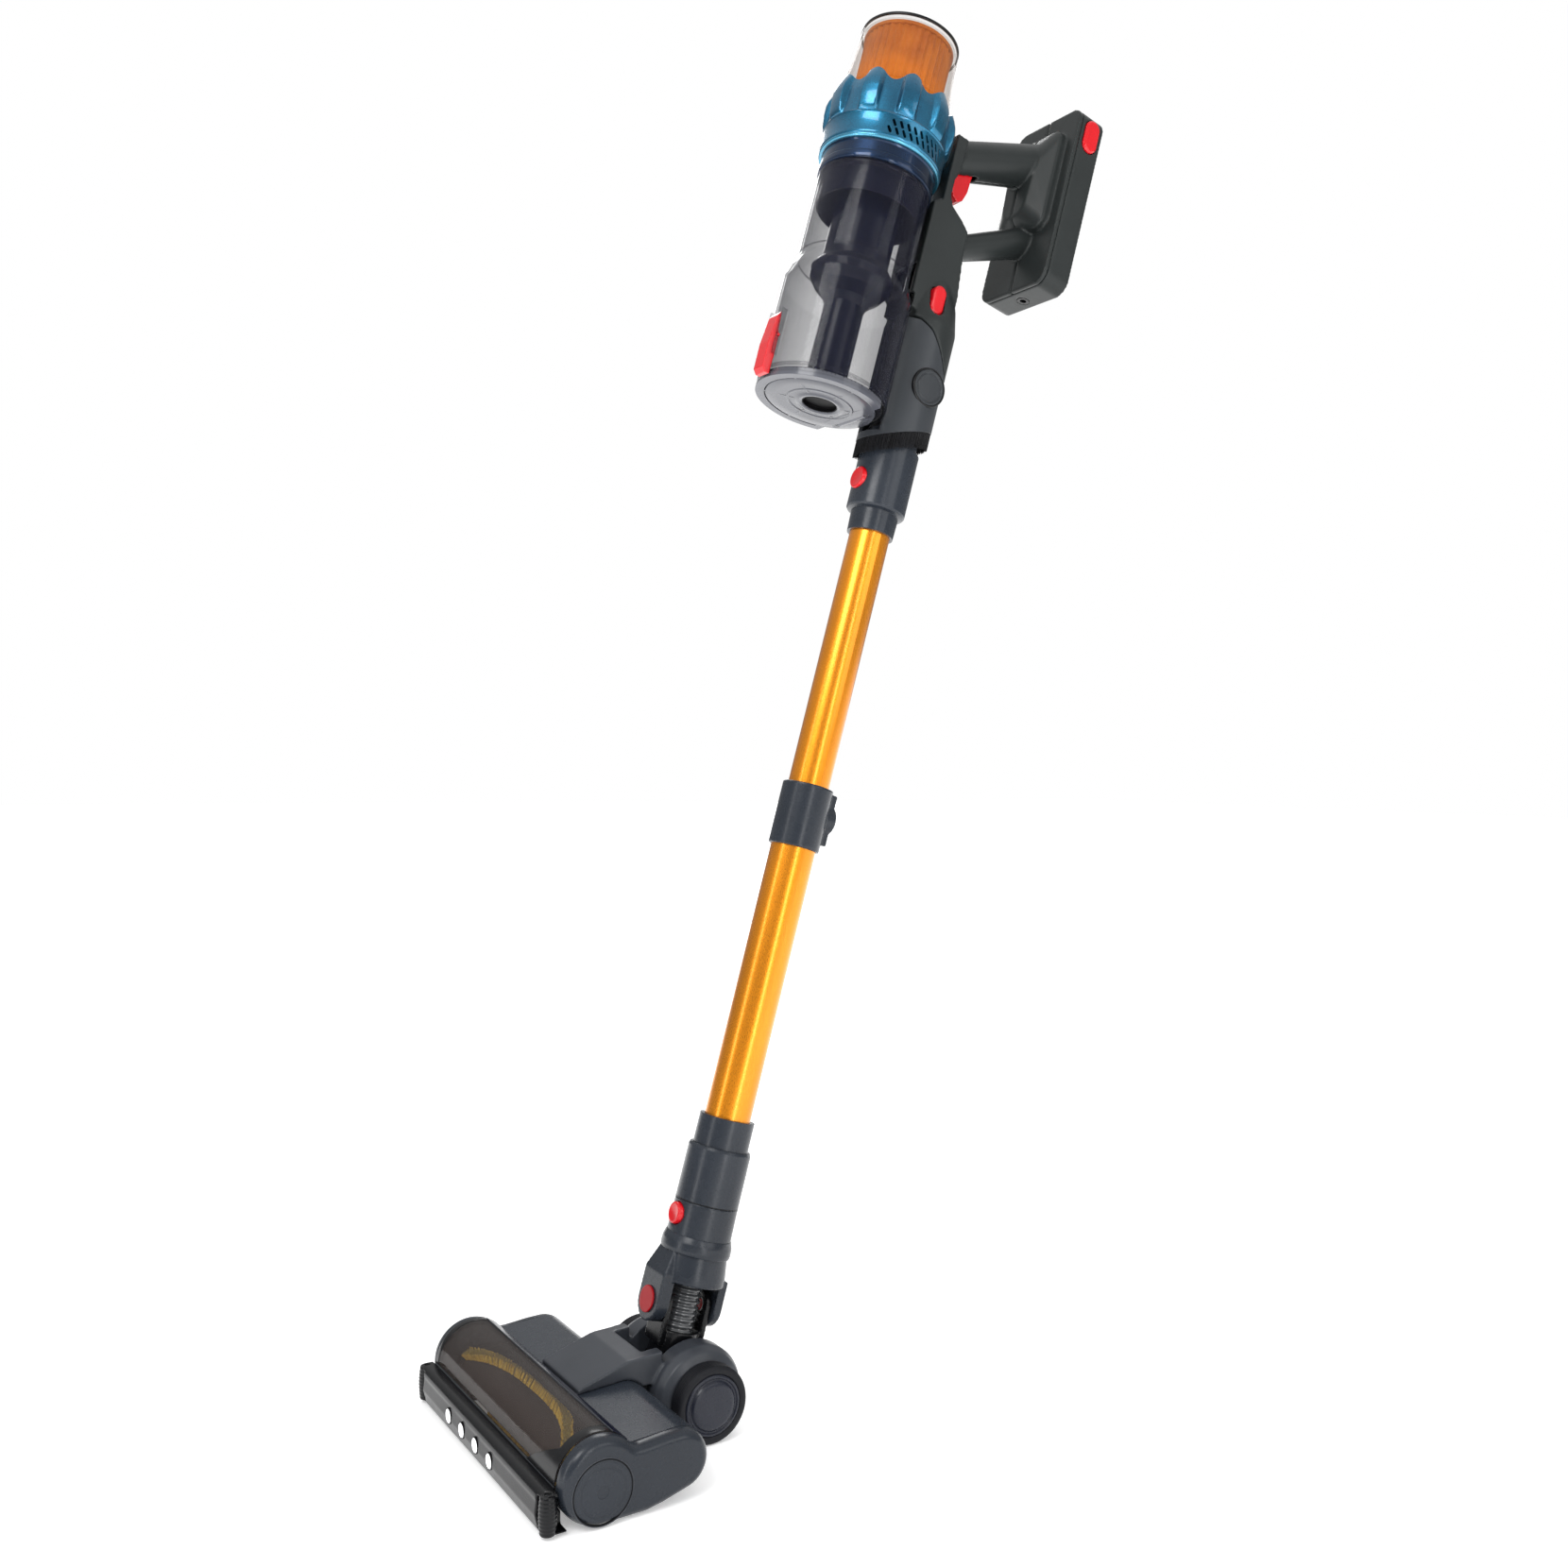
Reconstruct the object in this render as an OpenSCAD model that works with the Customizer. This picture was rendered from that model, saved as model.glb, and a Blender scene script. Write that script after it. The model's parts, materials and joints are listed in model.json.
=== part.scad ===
// Cordless stick vacuum cleaner: powered floor head, jointed neck, telescopic wand,
// cyclone unit with a clear dust bin, handle and battery pack.
// Millimetres. +Z is up, -Y is the front of the floor head, and the origin is on the floor
// under the middle of the whole cleaner.

/* [Floor head] */
// Overall width of the floor head
head_w = 240; // [230:1:260]
// Radius of the brush chamber's outer wall
lobe_r = 28; // [27:0.5:29]
// Radius of the rear part of the head
rear_r = 20; // [19:0.5:21]
// Thickness of the head's plastic walls
head_wall = 2.2; // [1.8:0.1:2.6]
// Radius over the brush roll's bristles
bristle_r = 21.9; // [21:0.1:22]
// Radius of the brush roll's core
core_r = 15.5; // [14:0.5:17]
// Number of bristle strips on the roll
bristle_strips = 2; // [2:1:6]
// How far each bristle strip arches back round the roll, in degrees
bristle_sweep = 122; // [60:2:140]
// Radius of the two rear wheels
wheel_r = 27.5; // [26:0.5:27.5]
// Radius of the drum that holds the neck's pitch joint
drum_r = 35; // [34:0.5:36]
// Number of lamps in the bumper
lamp_count = 4; // [2:1:5]

/* [Wand] */
// Backward lean of the wand at rest, in degrees
lean = 15.5; // [10:0.5:20]
// Outer radius of the lower tube
lower_tube_r = 17.5; // [17.3:0.1:17.6]
// Outer radius of the upper, sliding tube
upper_tube_r = 16; // [15.6:0.1:16]
// Wall thickness of both tubes
tube_wall = 1.2; // [0.8:0.1:1.2]
// Thickness of the sliding tube left inside the lower one when extended
tube_overlap = 50; // [30:5:60]

/* [Cyclone unit] */
// Distance of the bin's axis in front of the wand's axis
bin_offset = 73; // [73:0.5:75]
// Outer radius of the wide, lower part of the bin
bin_r = 51; // [50:0.5:51]
// Outer radius of the narrow, upper part of the bin
bin_top_r = 44.6; // [43:0.1:45]
// Wall thickness of the clear bin
bin_wall = 1.8; // [1.5:0.1:2.2]
// Number of petals round the crown
petals = 10; // [8:1:12]
// Number of exhaust slots in each row
vent_columns = 9; // [5:1:10]

/* [Handle and battery] */
// Radius of the round grip
grip_r = 16.5; // [16:0.5:17.5]
// Radius of the lower handle bar
bar_r = 11.5; // [10.5:0.5:12]
// Slope of the grip above the wand's normal, in degrees
grip_slope = 25; // [22:1:27]
// Width of the battery pack
battery_w = 80; // [76:1:84]
// Number of cells in the battery pack
cells = 7; // [5:1:7]

/* [Hidden] */
$fn = 64;
hull_fn = 32;
eps = 0.01;
gap = 0.1;      // between fixed neighbours
run = 0.05;     // radial clearance of a running fit
centre_y = 196.6; // middle of the whole cleaner, front to back

// Floor head, in (y, z) of its side view
lobe_y = -28;
lobe_z = lobe_r;
rear_y = 29;
rear_z = 27;
split_z = 27;
notch_y = -5.6;
brush_z = 22.5;
inner_w = head_w - 20.4;
cap_x = head_w / 2 - 10;
bulkhead_x = -98;
chamber_x = [-94, 104];
bristle_l = chamber_x[1] - chamber_x[0] - 6;
bristle_end = 170;
bristle_arch = [0.12, 0.92];
bristle_steps = 24;
pulley_x = -108;
pulley_w = 7.5;
brush_pulley_r = 12;
motor_pulley_r = 5.5;
belt_t = 1.3;
motor_pos = [30, 27.5];
motor_r = 13;
release_r = 19.8;
pitch_y = 85.5;
pitch_z = wheel_r;
drum_half = 45;
slot_half = 21.5;
trunnion_r = 8;
wheel_x = 46;
wheel_w = 15;
hub_r = 21.8;
axle_r = 4;
bumper_y = -62;
lamp_r = 5;
lamp_pitch = 26;
lamp_mid_x = -12;
lamp_z = 13.5;
roller_x = 112.5;
roller_r = 6;

// Neck and wand, in (x, forward, along) of the leaning wand
neck_y = 86.4;
neck_z = 60.6;
swivel_s = 21;
arm_half = 15;
front_face = 29.6;
rear_face = 26;
ear_in = 14.4;
ear_out = 18.8;
arm_in = 19.4;
socket_r = 19.6;
yoke_top = 94.8;
button_s = 84;
connector_r = 23.8;
neck_button_r = 8;
collar_s = [366, 415];
lock_s = 393;
upper_s = [620, 638, 690, 728];
wand_button_s = 660;
upper_connector_r = 23.4;

// Cyclone unit, along the wand
lid_s = 699.5;
bin_s = 706;
shoulder_s = [790, 809];
bin_top_s = 880.5;
ring_s = [880.9, 897];
ring_r = 45.4;
main_motor_s = [ring_s[0] + 3.1, 896, 926, 929];
crown_s = [897.5, 954.5];
crown_r = 52.3;
band_r = 49;
filter_s = [951, 1007];
filter_r = [43.4, 39.6];
hinge_fwd = 41;
hinge_s = 702;
sleeve_r = [25.7, 28.5];

// Handle and battery, along the wand
grip_start = [12, 939.5];
bar_start = [-4, 868.5];
bar_slope = 30;
trigger_pivot = [8, 938.5];
flare_fwd = -62;
dock_fwd = -78;
dock_t = 4;
battery_s = [866, 1024];
battery_mid = -93.6;
battery_fwd = [-105, -82.2];
spine_half = 19;
shell_t = 2.5;
battery_button_s = 1003;
cell_r = 9.1;
cell_l = 65;

// ---------- helpers ----------

// Sets a piece so that the origin lies under the middle of the whole cleaner
module placed() {
    translate([0, -centre_y, 0]) children();
}

// Extrudes a (y, z) outline along X from x0 over a length
module along_x(x0, l) {
    translate([x0, 0, 0]) rotate([90, 0, 90]) linear_extrude(l) children();
}

// Puts a shape drawn as (x, -forward, along) onto the leaning wand
module on_wand() {
    translate([0, neck_y, neck_z]) rotate([-lean, 0, 0]) children();
}

// Cylinder along X at a point of the wand's side view
module wand_rod(fwd, s, r, x0, l) {
    translate([x0, -fwd, s]) rotate([0, 90, 0]) cylinder(h = l, r = r);
}

// Cylinder along the forward direction, between two distances from the wand's axis
module fwd_rod(s, r, f0, f1, x = 0) {
    translate([x, -f0, s]) rotate([90, 0, 0]) cylinder(h = f1 - f0, r = r);
}

// Box by its ranges across, forward and along the wand
module wand_box(x0, x1, f0, f1, s0, s1) {
    translate([x0, -f1, s0]) cube([x1 - x0, f1 - f0, s1 - s0]);
}

// Extrudes a (forward, along) outline symmetrically across the wand
module wand_slab(half) {
    translate([-half, 0, 0]) rotate([90, 0, 90]) linear_extrude(2 * half) mirror([1, 0]) children();
}

// Tube on the wand's axis
module tube(r, wall, s0, s1) {
    translate([0, 0, s0]) difference() {
        cylinder(h = s1 - s0, r = r);
        translate([0, 0, -eps]) cylinder(h = s1 - s0 + 2 * eps, r = r - wall);
    }
}

// Straight slot shape: two round ends joined by a bar, standing along the wand
module oblong(r, len) {
    square([2 * r, len - 2 * r], center = true);
    for (e = [-1, 1]) translate([0, e * (len / 2 - r)]) circle(r);
}

// Plate with four round corners, in the plane across the forward direction
module corner_plate(w, s0, s1, r, f0, f1) {
    wand_box(-w / 2, w / 2, f0, f1, s0 + r, s1 - r);
    wand_box(-w / 2 + r, w / 2 - r, f0, f1, s0, s1);
    for (x = [-1, 1], s = [s0 + r, s1 - r]) fwd_rod(s, r, f0, f1, x * (w / 2 - r));
}

// Moves a shape to the bin's axis
module on_bin() {
    translate([0, -bin_offset, 0]) children();
}

// ---------- floor head ----------

// Side outline of the head, drawn in by d
module head_outline(d = 0) {
    translate([lobe_y, lobe_z]) circle(lobe_r - d);
    translate([rear_y, rear_z]) circle(rear_r - d);
    polygon([[lobe_y, lobe_z], [lobe_y, d], [6, d], [rear_y + 4, rear_z - rear_r + d + 0.4],
        [rear_y + 4, rear_z], [rear_y, rear_z + rear_r - d], [-7, 44.5 - d]]);
}

// Ring between the head's outline and its inside
module head_skin() {
    difference() {
        head_outline();
        head_outline(head_wall);
    }
}

// Curved wall between the brush chamber and the machinery behind it
module chamber_wall() {
    intersection() {
        difference() {
            translate([lobe_y, lobe_z]) circle(lobe_r);
            translate([lobe_y, lobe_z]) circle(lobe_r - head_wall);
        }
        translate([-15, 3]) square([20, 60]);
        head_outline(head_wall / 2);
    }
}

module head_base() {
    color("#3c4045") difference() {
        union() {
            along_x(-inner_w / 2, inner_w) intersection() {
                head_skin();
                translate([-80, -5]) square([160, split_z + 5]);
            }
            along_x(bulkhead_x + 2, inner_w / 2 - bulkhead_x - 2) intersection() {
                chamber_wall();
                translate([-80, 0]) square([160, split_z]);
            }
            along_x(bulkhead_x, 2) intersection() {
                head_outline(head_wall / 2);
                translate([-80, 0]) square([160, split_z]);
            }
            for (x = [-84, -46]) along_x(x, 3) difference() {
                translate([motor_pos[0] - 11, 8]) square([22, 14]);
                translate(motor_pos) circle(motor_r + gap);
            }
        }
        translate([chamber_x[0], lobe_y - 19.5, -1]) cube([chamber_x[1] - chamber_x[0], 39, 14]);
        along_x(bulkhead_x - 1, 4) translate([lobe_y, brush_z]) circle(9);
        along_x(bulkhead_x - 1, 4) translate(motor_pos) circle(4);
    }
}

module head_cover() {
    color("#454a50") {
        along_x(-inner_w / 2, inner_w) intersection() {
            head_skin();
            translate([notch_y, split_z + gap]) square([80, 40]);
        }
        along_x(bulkhead_x + 2, inner_w / 2 - bulkhead_x - 2) intersection() {
            chamber_wall();
            translate([notch_y, split_z + gap]) square([80, 40]);
        }
    }
}

// Ramp from the deck up to the drum, seen from the side
module ramp_outline(d = 0) {
    polygon([[-5 + d, 40 + d], [-5 + d, 48.3 - d], [33, 60.2 - d], [60, pitch_z + drum_r - 0.8 - d],
        [60, 40 + d]]);
}

module neck_housing() {
    color("#4b4f55") difference() {
        union() {
            along_x(-31, 62) ramp_outline();
            translate([0, pitch_y, pitch_z]) rotate([0, 90, 0]) rotate_extrude()
                polygon([[0, -drum_half], [drum_r - 9, -drum_half], [drum_r - 3, -drum_half + 3.5],
                    [drum_r, -drum_half + 10], [drum_r, drum_half - 10],
                    [drum_r - 3, drum_half - 3.5], [drum_r - 9, drum_half], [0, drum_half]]);
        }
        along_x(-head_w / 2, head_w) head_outline(-0.15);
        along_x(-28.5, 57) intersection() {
            ramp_outline(head_wall);
            square([45, 80]);
        }
        translate([-slot_half, 48, -20]) cube([2 * slot_half, 90, 120]);
        translate([-60, 0, -20]) cube([120, 140, 25]);
        for (side = [-1, 1]) along_x(side > 0 ? 24 : -41, 17)
            translate([pitch_y, pitch_z]) circle(drum_r - 5);
        along_x(-30, 60) translate([pitch_y, pitch_z]) circle(trunnion_r + run);
        along_x(-50, 100) translate([pitch_y, pitch_z]) circle(axle_r + run);
    }
}

module brush_window() {
    color("#5b5a58", 0.5) along_x(-inner_w / 2, inner_w) intersection() {
        difference() {
            translate([lobe_y, lobe_z]) circle(lobe_r);
            translate([lobe_y, lobe_z]) circle(lobe_r - 1.8);
        }
        translate([-80, split_z + gap]) square([80 + notch_y - gap, 40]);
    }
}

module bumper_outline() {
    translate([bumper_y, 22.5]) circle(5);
    polygon([[bumper_y - 4.6, 20.6], [bumper_y - 5.5, 12], [bumper_y - 3, 2], [-50, 2], [-50, 27.5],
        [bumper_y, 27.5]]);
}

module lamps(r, y0, y1) {
    for (i = [0 : lamp_count - 1])
        translate([lamp_mid_x + (i - (lamp_count - 1) / 2) * lamp_pitch, y1, lamp_z])
            rotate([90, 0, 0]) cylinder(h = y1 - y0, r = r);
}

module front_bumper() {
    color("#26282b") difference() {
        along_x(-roller_x - 3, 2 * roller_x + 6) bumper_outline();
        along_x(-head_w / 2 - 1, head_w + 2) head_outline(-0.2);
        lamps(lamp_r + gap, -72, -64);
        for (side = [-1, 1]) translate([side * (roller_x + 6), bumper_y, 3])
            translate([-13, -20, 0]) cube([26, 40, 22]);
        for (side = [-1, 1]) translate([side * roller_x, bumper_y, 0]) cylinder(h = 30, r = 2);
    }
}

module lamp_lenses() {
    color("white") lamps(lamp_r, -67.4, -64.1);
}

module corner_roller(side) {
    color("#1f2124") translate([side * roller_x, bumper_y, 3.4]) {
        cylinder(h = 21.2, r = roller_r);
        translate([0, 0, -1.2]) cylinder(h = 24.2, r = 1.9);
    }
}

module end_cap(side) {
    insets = [0, 1.2, 3.2];
    starts = [0, 5, 8];
    ends = [5, 8, 10];
    color("#43474c") mirror([side > 0 ? 0 : 1, 0, 0]) difference() {
        for (i = [0 : 2]) along_x(cap_x + starts[i], ends[i] - starts[i]) head_outline(insets[i]);
        if (side > 0) along_x(cap_x - 1, 12) translate([lobe_y, brush_z]) circle(release_r + 0.2);
    }
}

module brush_release_cap() {
    color("#3f4348") difference() {
        union() {
            along_x(head_w / 2 - 4, 3.8) translate([lobe_y, brush_z]) circle(release_r);
            along_x(cap_x - 5.5, 12) translate([lobe_y, brush_z]) circle(14);
        }
        along_x(cap_x - 7, 8) translate([lobe_y, brush_z]) circle(12.05);
        along_x(head_w / 2 - 1.6, 4) intersection() {
            translate([lobe_y, brush_z]) circle(release_r - 5);
            translate([lobe_y - 3, 0]) square([6, 60]);
        }
    }
}

// ---------- brush drive ----------

module brush_core() {
    color("#55524c") {
        along_x(chamber_x[0] + 0.5, 197) translate([lobe_y, brush_z]) circle(core_r);
        along_x(pulley_x - 1, 20) translate([lobe_y, brush_z]) circle(4);
        along_x(103, 6) translate([lobe_y, brush_z]) circle(6);
    }
}

// Angle of a bristle strip round the roll, a share t of the way along it
function bristle_angle(t) =
    bristle_end - bristle_sweep * sin(180 * (bristle_arch[0] + t * (bristle_arch[1] - bristle_arch[0])));

// One strip: a fin of rectangular section carried along the arched path
module bristle_strip(start) {
    n = bristle_steps;
    half = 2.4;
    foot = core_r + 0.12;
    tip = bristle_r - 0.18;
    section = [[foot, -half], [tip, -half], [tip, half], [foot, half]];
    points = [for (i = [0 : n]) let (a = start + bristle_angle(i / n)) for (c = section)
        [c[0] * cos(a) - c[1] * sin(a), c[0] * sin(a) + c[1] * cos(a), bristle_l * i / n]];
    sides = [for (i = [0 : n - 1], k = [0 : 3]) let (p = 4 * i + k, q = 4 * i + (k + 1) % 4)
        each [[p, p + 4, q], [q, p + 4, q + 4]]];
    polyhedron(points, concat([[0, 1, 2, 3]], sides, [[4 * n + 3, 4 * n + 2, 4 * n + 1, 4 * n]]));
}

module brush_bristles() {
    color("#a08a3a") translate([chamber_x[0] + 2, lobe_y, brush_z]) rotate([90, 0, 90])
        for (i = [0 : bristle_strips - 1]) bristle_strip(i * 360 / bristle_strips);
}

module brush_pulley() {
    color("#2b2b2b") along_x(pulley_x, pulley_w) translate([lobe_y, brush_z]) difference() {
        circle(brush_pulley_r);
        circle(4 + 0.02);
    }
}

module brush_bearings() {
    color("#8a8d90") {
        along_x(bulkhead_x, 2) translate([lobe_y, brush_z]) difference() {
            circle(9 - 0.02);
            circle(4 + run);
        }
        along_x(103.6, 5) translate([lobe_y, brush_z]) difference() {
            circle(12);
            circle(6 + run);
        }
    }
}

module drive_belt() {
    color("#1b1b1b") along_x(pulley_x + 0.7, pulley_w - 1.4) difference() {
        for (grow = [0.3 + belt_t]) hull() {
            translate([lobe_y, brush_z]) circle(brush_pulley_r + grow);
            translate(motor_pos) circle(motor_pulley_r + grow);
        }
        hull() {
            translate([lobe_y, brush_z]) circle(brush_pulley_r + 0.3);
            translate(motor_pos) circle(motor_pulley_r + 0.3);
        }
    }
}

module brush_motor() {
    color("#9a9c9e") {
        along_x(-92, 58) translate(motor_pos) circle(motor_r);
        along_x(-34, 3) translate(motor_pos) circle(5);
    }
}

module motor_pulley() {
    color("#b59a55") {
        along_x(pulley_x, pulley_w) translate(motor_pos) circle(motor_pulley_r);
        along_x(pulley_x + pulley_w, -92.3 - pulley_x - pulley_w) translate(motor_pos) circle(1.6);
    }
}

module wheel_axles() {
    color("#a9abad") for (side = [-1, 1]) translate([0, pitch_y, pitch_z]) rotate([0, side * 90, 0]) {
        translate([0, 0, 38]) cylinder(h = 20.5, r = axle_r);
        translate([0, 0, 38]) cylinder(h = 2.9, r = 7);
    }
}

module wheel(side) {
    color("#2a2d31") translate([0, pitch_y, pitch_z]) rotate([0, side * 90, 0])
        translate([0, 0, wheel_x]) difference() {
            union() {
                cylinder(h = wheel_w - 2, r = hub_r);
                translate([0, 0, wheel_w - 2]) cylinder(h = 2, r1 = hub_r, r2 = hub_r - 2);
            }
            translate([0, 0, -eps]) cylinder(h = 12.8, r = axle_r + run);
        }
}

module tyre(side) {
    color("#17181a") translate([0, pitch_y, pitch_z]) rotate([0, side * 90, 0]) rotate_extrude()
        polygon([[hub_r + 0.05, wheel_x], [wheel_r - 1.5, wheel_x], [wheel_r, wheel_x + 2],
            [wheel_r, wheel_x + wheel_w - 5], [wheel_r - 2.5, wheel_x + wheel_w - 2.2],
            [hub_r + 0.05, wheel_x + wheel_w - 2.2]]);
}

// ---------- neck ----------

module neck_elbow() {
    color("#2c2e31") difference() {
        union() {
            along_x(-20.9, 41.8) translate([pitch_y, pitch_z]) circle(20);
            along_x(-28.5, 57) translate([pitch_y, pitch_z]) circle(trunnion_r);
            on_wand() {
                translate([0, 0, -24]) cylinder(h = 27, r = 17);
                for (f = [ear_in, -ear_out]) {
                    fwd_rod(swivel_s, 11, f, f + ear_out - ear_in);
                    wand_box(-11, 11, f, f + ear_out - ear_in, -8, swivel_s);
                }
            }
        }
        along_x(-17, 34) translate([pitch_y, pitch_z]) circle(15);
        on_wand() {
            translate([0, 0, -24]) cylinder(h = 40, r = 13);
            fwd_rod(swivel_s, 4 + run, -30, 30);
        }
    }
}

module yoke_profile() {
    polygon([[14, 36.5], [27, 38], [26.6, 44], [24.4, 60], [connector_r, yoke_top],
        [socket_r, yoke_top], [socket_r, 62], [14, 62]]);
}

module neck_yoke() {
    color("#43484d") on_wand() difference() {
        union() {
            rotate_extrude() yoke_profile();
            for (f = [[arm_in, front_face], [-rear_face, -arm_in]]) {
                fwd_rod(swivel_s, arm_half, f[0], f[1]);
                wand_box(-arm_half, arm_half, f[0], f[1], swivel_s, 42);
            }
            hull() {
                wand_box(-arm_half, arm_half, arm_in, front_face, 38, 42);
                wand_box(-10, 10, arm_in, 23, 58, 62);
            }
        }
        translate([0, 0, 62]) cylinder(h = 60, r = socket_r);
        translate([0, 0, 30]) cylinder(h = 40, r = 14);
        fwd_rod(swivel_s, 4 + run, -40, 40);
        fwd_rod(button_s, neck_button_r + 0.2, 5, 30);
    }
}

module swivel_pivots() {
    color("#c8202a") on_wand() {
        fwd_rod(swivel_s, 4, ear_in + 0.2, front_face + 1);
        fwd_rod(swivel_s, 9.5, front_face + run, front_face + 1.6);
        fwd_rod(swivel_s, 4, -rear_face - 1, -ear_in - 0.2);
        fwd_rod(swivel_s, 9.5, -rear_face - 1.6, -rear_face - run);
    }
}

module neck_hose() {
    pitch = 4;
    color("#8d9093") on_wand() rotate_extrude() polygon(concat(
        [[10.5, 12], [11.4, 12]],
        [for (i = [0 : 8]) each [[11.4, 13 + i * pitch], [12.6, 14 + i * pitch],
            [12.6, 15 + i * pitch], [11.4, 16 + i * pitch]]],
        [[11.4, 50], [13.7, 50], [13.7, 53], [10.5, 53]]));
}

module neck_button() {
    color("#d3212c") on_wand() {
        fwd_rod(button_s, neck_button_r, 20.4, 25.4);
        fwd_rod(button_s, neck_button_r - 1, 25.4, 26.2);
    }
}

// ---------- wand ----------

module lower_connector() {
    color("#43484d") on_wand() difference() {
        rotate_extrude() polygon([[16.5, 63], [19.3, 63], [19.3, 95], [connector_r, 95],
            [connector_r, 134], [connector_r - 1, 136], [21, 136], [21, 158],
            [lower_tube_r + run, 158], [lower_tube_r + run, 100], [16.5, 100]]);
        fwd_rod(button_s, neck_button_r + 0.6, 5, 30);
    }
}

module lower_tube() {
    color("#e59a16") on_wand() tube(lower_tube_r, tube_wall, 100.1, 380);
}

module wand_collar() {
    color("#34373b") on_wand() difference() {
        union() {
            translate([0, 0, collar_s[0]]) cylinder(h = collar_s[1] - collar_s[0], r = 19.8);
            fwd_rod(lock_s, 12, -25, -10);
            wand_box(-9, 9, -23, -10, lock_s - 20, lock_s + 20);
        }
        translate([0, 0, collar_s[0] - 1]) cylinder(h = 15.1, r = lower_tube_r + run);
        translate([0, 0, collar_s[0]]) cylinder(h = 80, r = upper_tube_r + 0.15);
        fwd_rod(lock_s, 8.2, -30, -19.2);
    }
}

module wand_lock_button() {
    color("#26282b") on_wand() {
        fwd_rod(lock_s, 8, -27.5, -21.5);
        fwd_rod(lock_s, 6.5, -28.5, -27.5);
    }
}

module upper_tube() {
    color("#e59a16") on_wand() tube(upper_tube_r, tube_wall, collar_s[0] + 14 - tube_overlap, 640);
}

module upper_connector() {
    r = upper_connector_r;
    color("#43484d") on_wand() difference() {
        rotate_extrude() polygon([[upper_tube_r + run, upper_s[0]], [18.4, upper_s[0]],
            [19, upper_s[1] - 1], [r - 1, upper_s[1]], [r, upper_s[1] + 1.5], [r, upper_s[2]],
            [20.3, upper_s[2]], [20.3, upper_s[3]], [15, upper_s[3]], [15, 640.2],
            [upper_tube_r + run, 640.2]]);
        fwd_rod(wand_button_s, 9.2, 17.5, 30);
    }
}

module wand_button() {
    color("#d3212c") on_wand() {
        fwd_rod(wand_button_s, 9, 20.2, 24.2);
        fwd_rod(wand_button_s, 6.2, 24.2, 25.1);
    }
}

// ---------- dusting sleeve and inlet ----------

// Side outline of the sliding sleeve: slanting mouth below, curved seam above
module sleeve_outline() {
    polygon([[30, 690.5], [-30, 715], [-30, 752], [-24, 753.5], [-14, 762], [-4, 774], [6, 785],
        [16, 791], [30, 793]]);
}

// Space that the bin takes out of its neighbours
module bin_clearance(s0, s1, r = bin_r + 0.6) {
    on_bin() translate([0, 0, s0]) cylinder(h = s1 - s0, r = r);
}

module dusting_sleeve() {
    color("#4b4f53") on_wand() difference() {
        intersection() {
            tube(sleeve_r[1], sleeve_r[1] - sleeve_r[0], 680, 800);
            wand_slab(40) sleeve_outline();
        }
        bin_clearance(697, 810);
    }
}

module dusting_bristles() {
    color("#141415") on_wand() intersection() {
        tube(sleeve_r[1] - 0.4, 2, 660, 720);
        wand_slab(40) polygon([[30, 673.5], [30, 690.3], [-30, 714.8], [-30, 702]]);
    }
}

module inlet_duct() {
    color("#35383c") on_wand() difference() {
        union() {
            tube(21.8, 1.4, 704, 800);
            wand_box(-14, 14, -12, 26, 800, 838);
        }
        bin_clearance(690, 812);
        translate([0, 0, 790]) cylinder(h = 12, r = 12);
        wand_box(-12, 12, -10, 24, 799, 836);
        wand_box(-12, 12, 20, 40, 816, 836);
    }
}

// ---------- handle ----------

// Side outline of the spine behind the bin, drawn in by d
module spine_outline(d = 0) {
    polygon([[27.5 - d, 800 + d], [27.5 - d, 890 - d], [20 - d, 895 - d], [20 - d, 952 - d],
        [9 + 2 * d, 952 - d], [9 + 2 * d, 926], [13 + d, 915], [13 + d, 901], [9.5 + d, 894.5 - d],
        [-6 + d, 885 - d], [-11.5 + d, 880 - d], [-11.5 + d, 862], [-16 + d, 826], [-16 + d, 800 + d]]);
}

// Region above the sleeve's curved seam
module lobe_outline() {
    polygon([[21, 794], [16, 792.5], [6, 786.5], [-4, 775.5], [-14, 763.5], [-24, 755], [-32, 753.5],
        [-32, 840], [21, 840]]);
}

// Rounded lower end of the spine, as wide as the sleeve
module lobe_solid(d) {
    intersection() {
        rotate_extrude() polygon([[22.2, 740], [sleeve_r[1] + 0.5 - d, 740], [29 - d, 795],
            [25 - d, 815], [19 - d, 832], [14 - d, 838], [0, 838], [0, 812 - d], [22.2, 802 - d]]);
        wand_slab(40) lobe_outline();
    }
}

// Round bar from a point in the side view up to the dock, wider towards the dock. It starts
// `from` along its axis, and d takes the wall off it
module handle_rod(start, slope, r, from, d = 0) {
    translate([0, -start[0], start[1]]) rotate([slope - 90, 0, 0])
        translate([0, 0, from]) cylinder(h = 110 - from, r1 = r - 1.5 - d, r2 = r + 2 - d);
}

// Pad that widens from the grip to the dock
module flare() {
    hull() {
        for (e = [[940, 14], [968, 16]]) translate([0, -flare_fwd, e[0]])
            rotate([90, 0, 0]) cylinder(h = 1, r = e[1], $fn = hull_fn);
        for (x = [-19, 19], s = [926, 994]) translate([x, 0.5 - dock_fwd, s])
            rotate([90, 0, 0]) cylinder(h = 7, r = 10, $fn = hull_fn);
    }
}

module handle_form() {
    wand_slab(spine_half) spine_outline();
    lobe_solid(0);
    difference() {
        union() {
            handle_rod(grip_start, grip_slope, grip_r, -14);
            handle_rod(bar_start, bar_slope, bar_r, 0);
            flare();
        }
        translate([-60, -dock_fwd, 800]) cube([120, 60, 300]);
    }
    corner_plate(battery_w, battery_s[0], battery_s[1], 12, dock_fwd - dock_t, dock_fwd);
}

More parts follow.
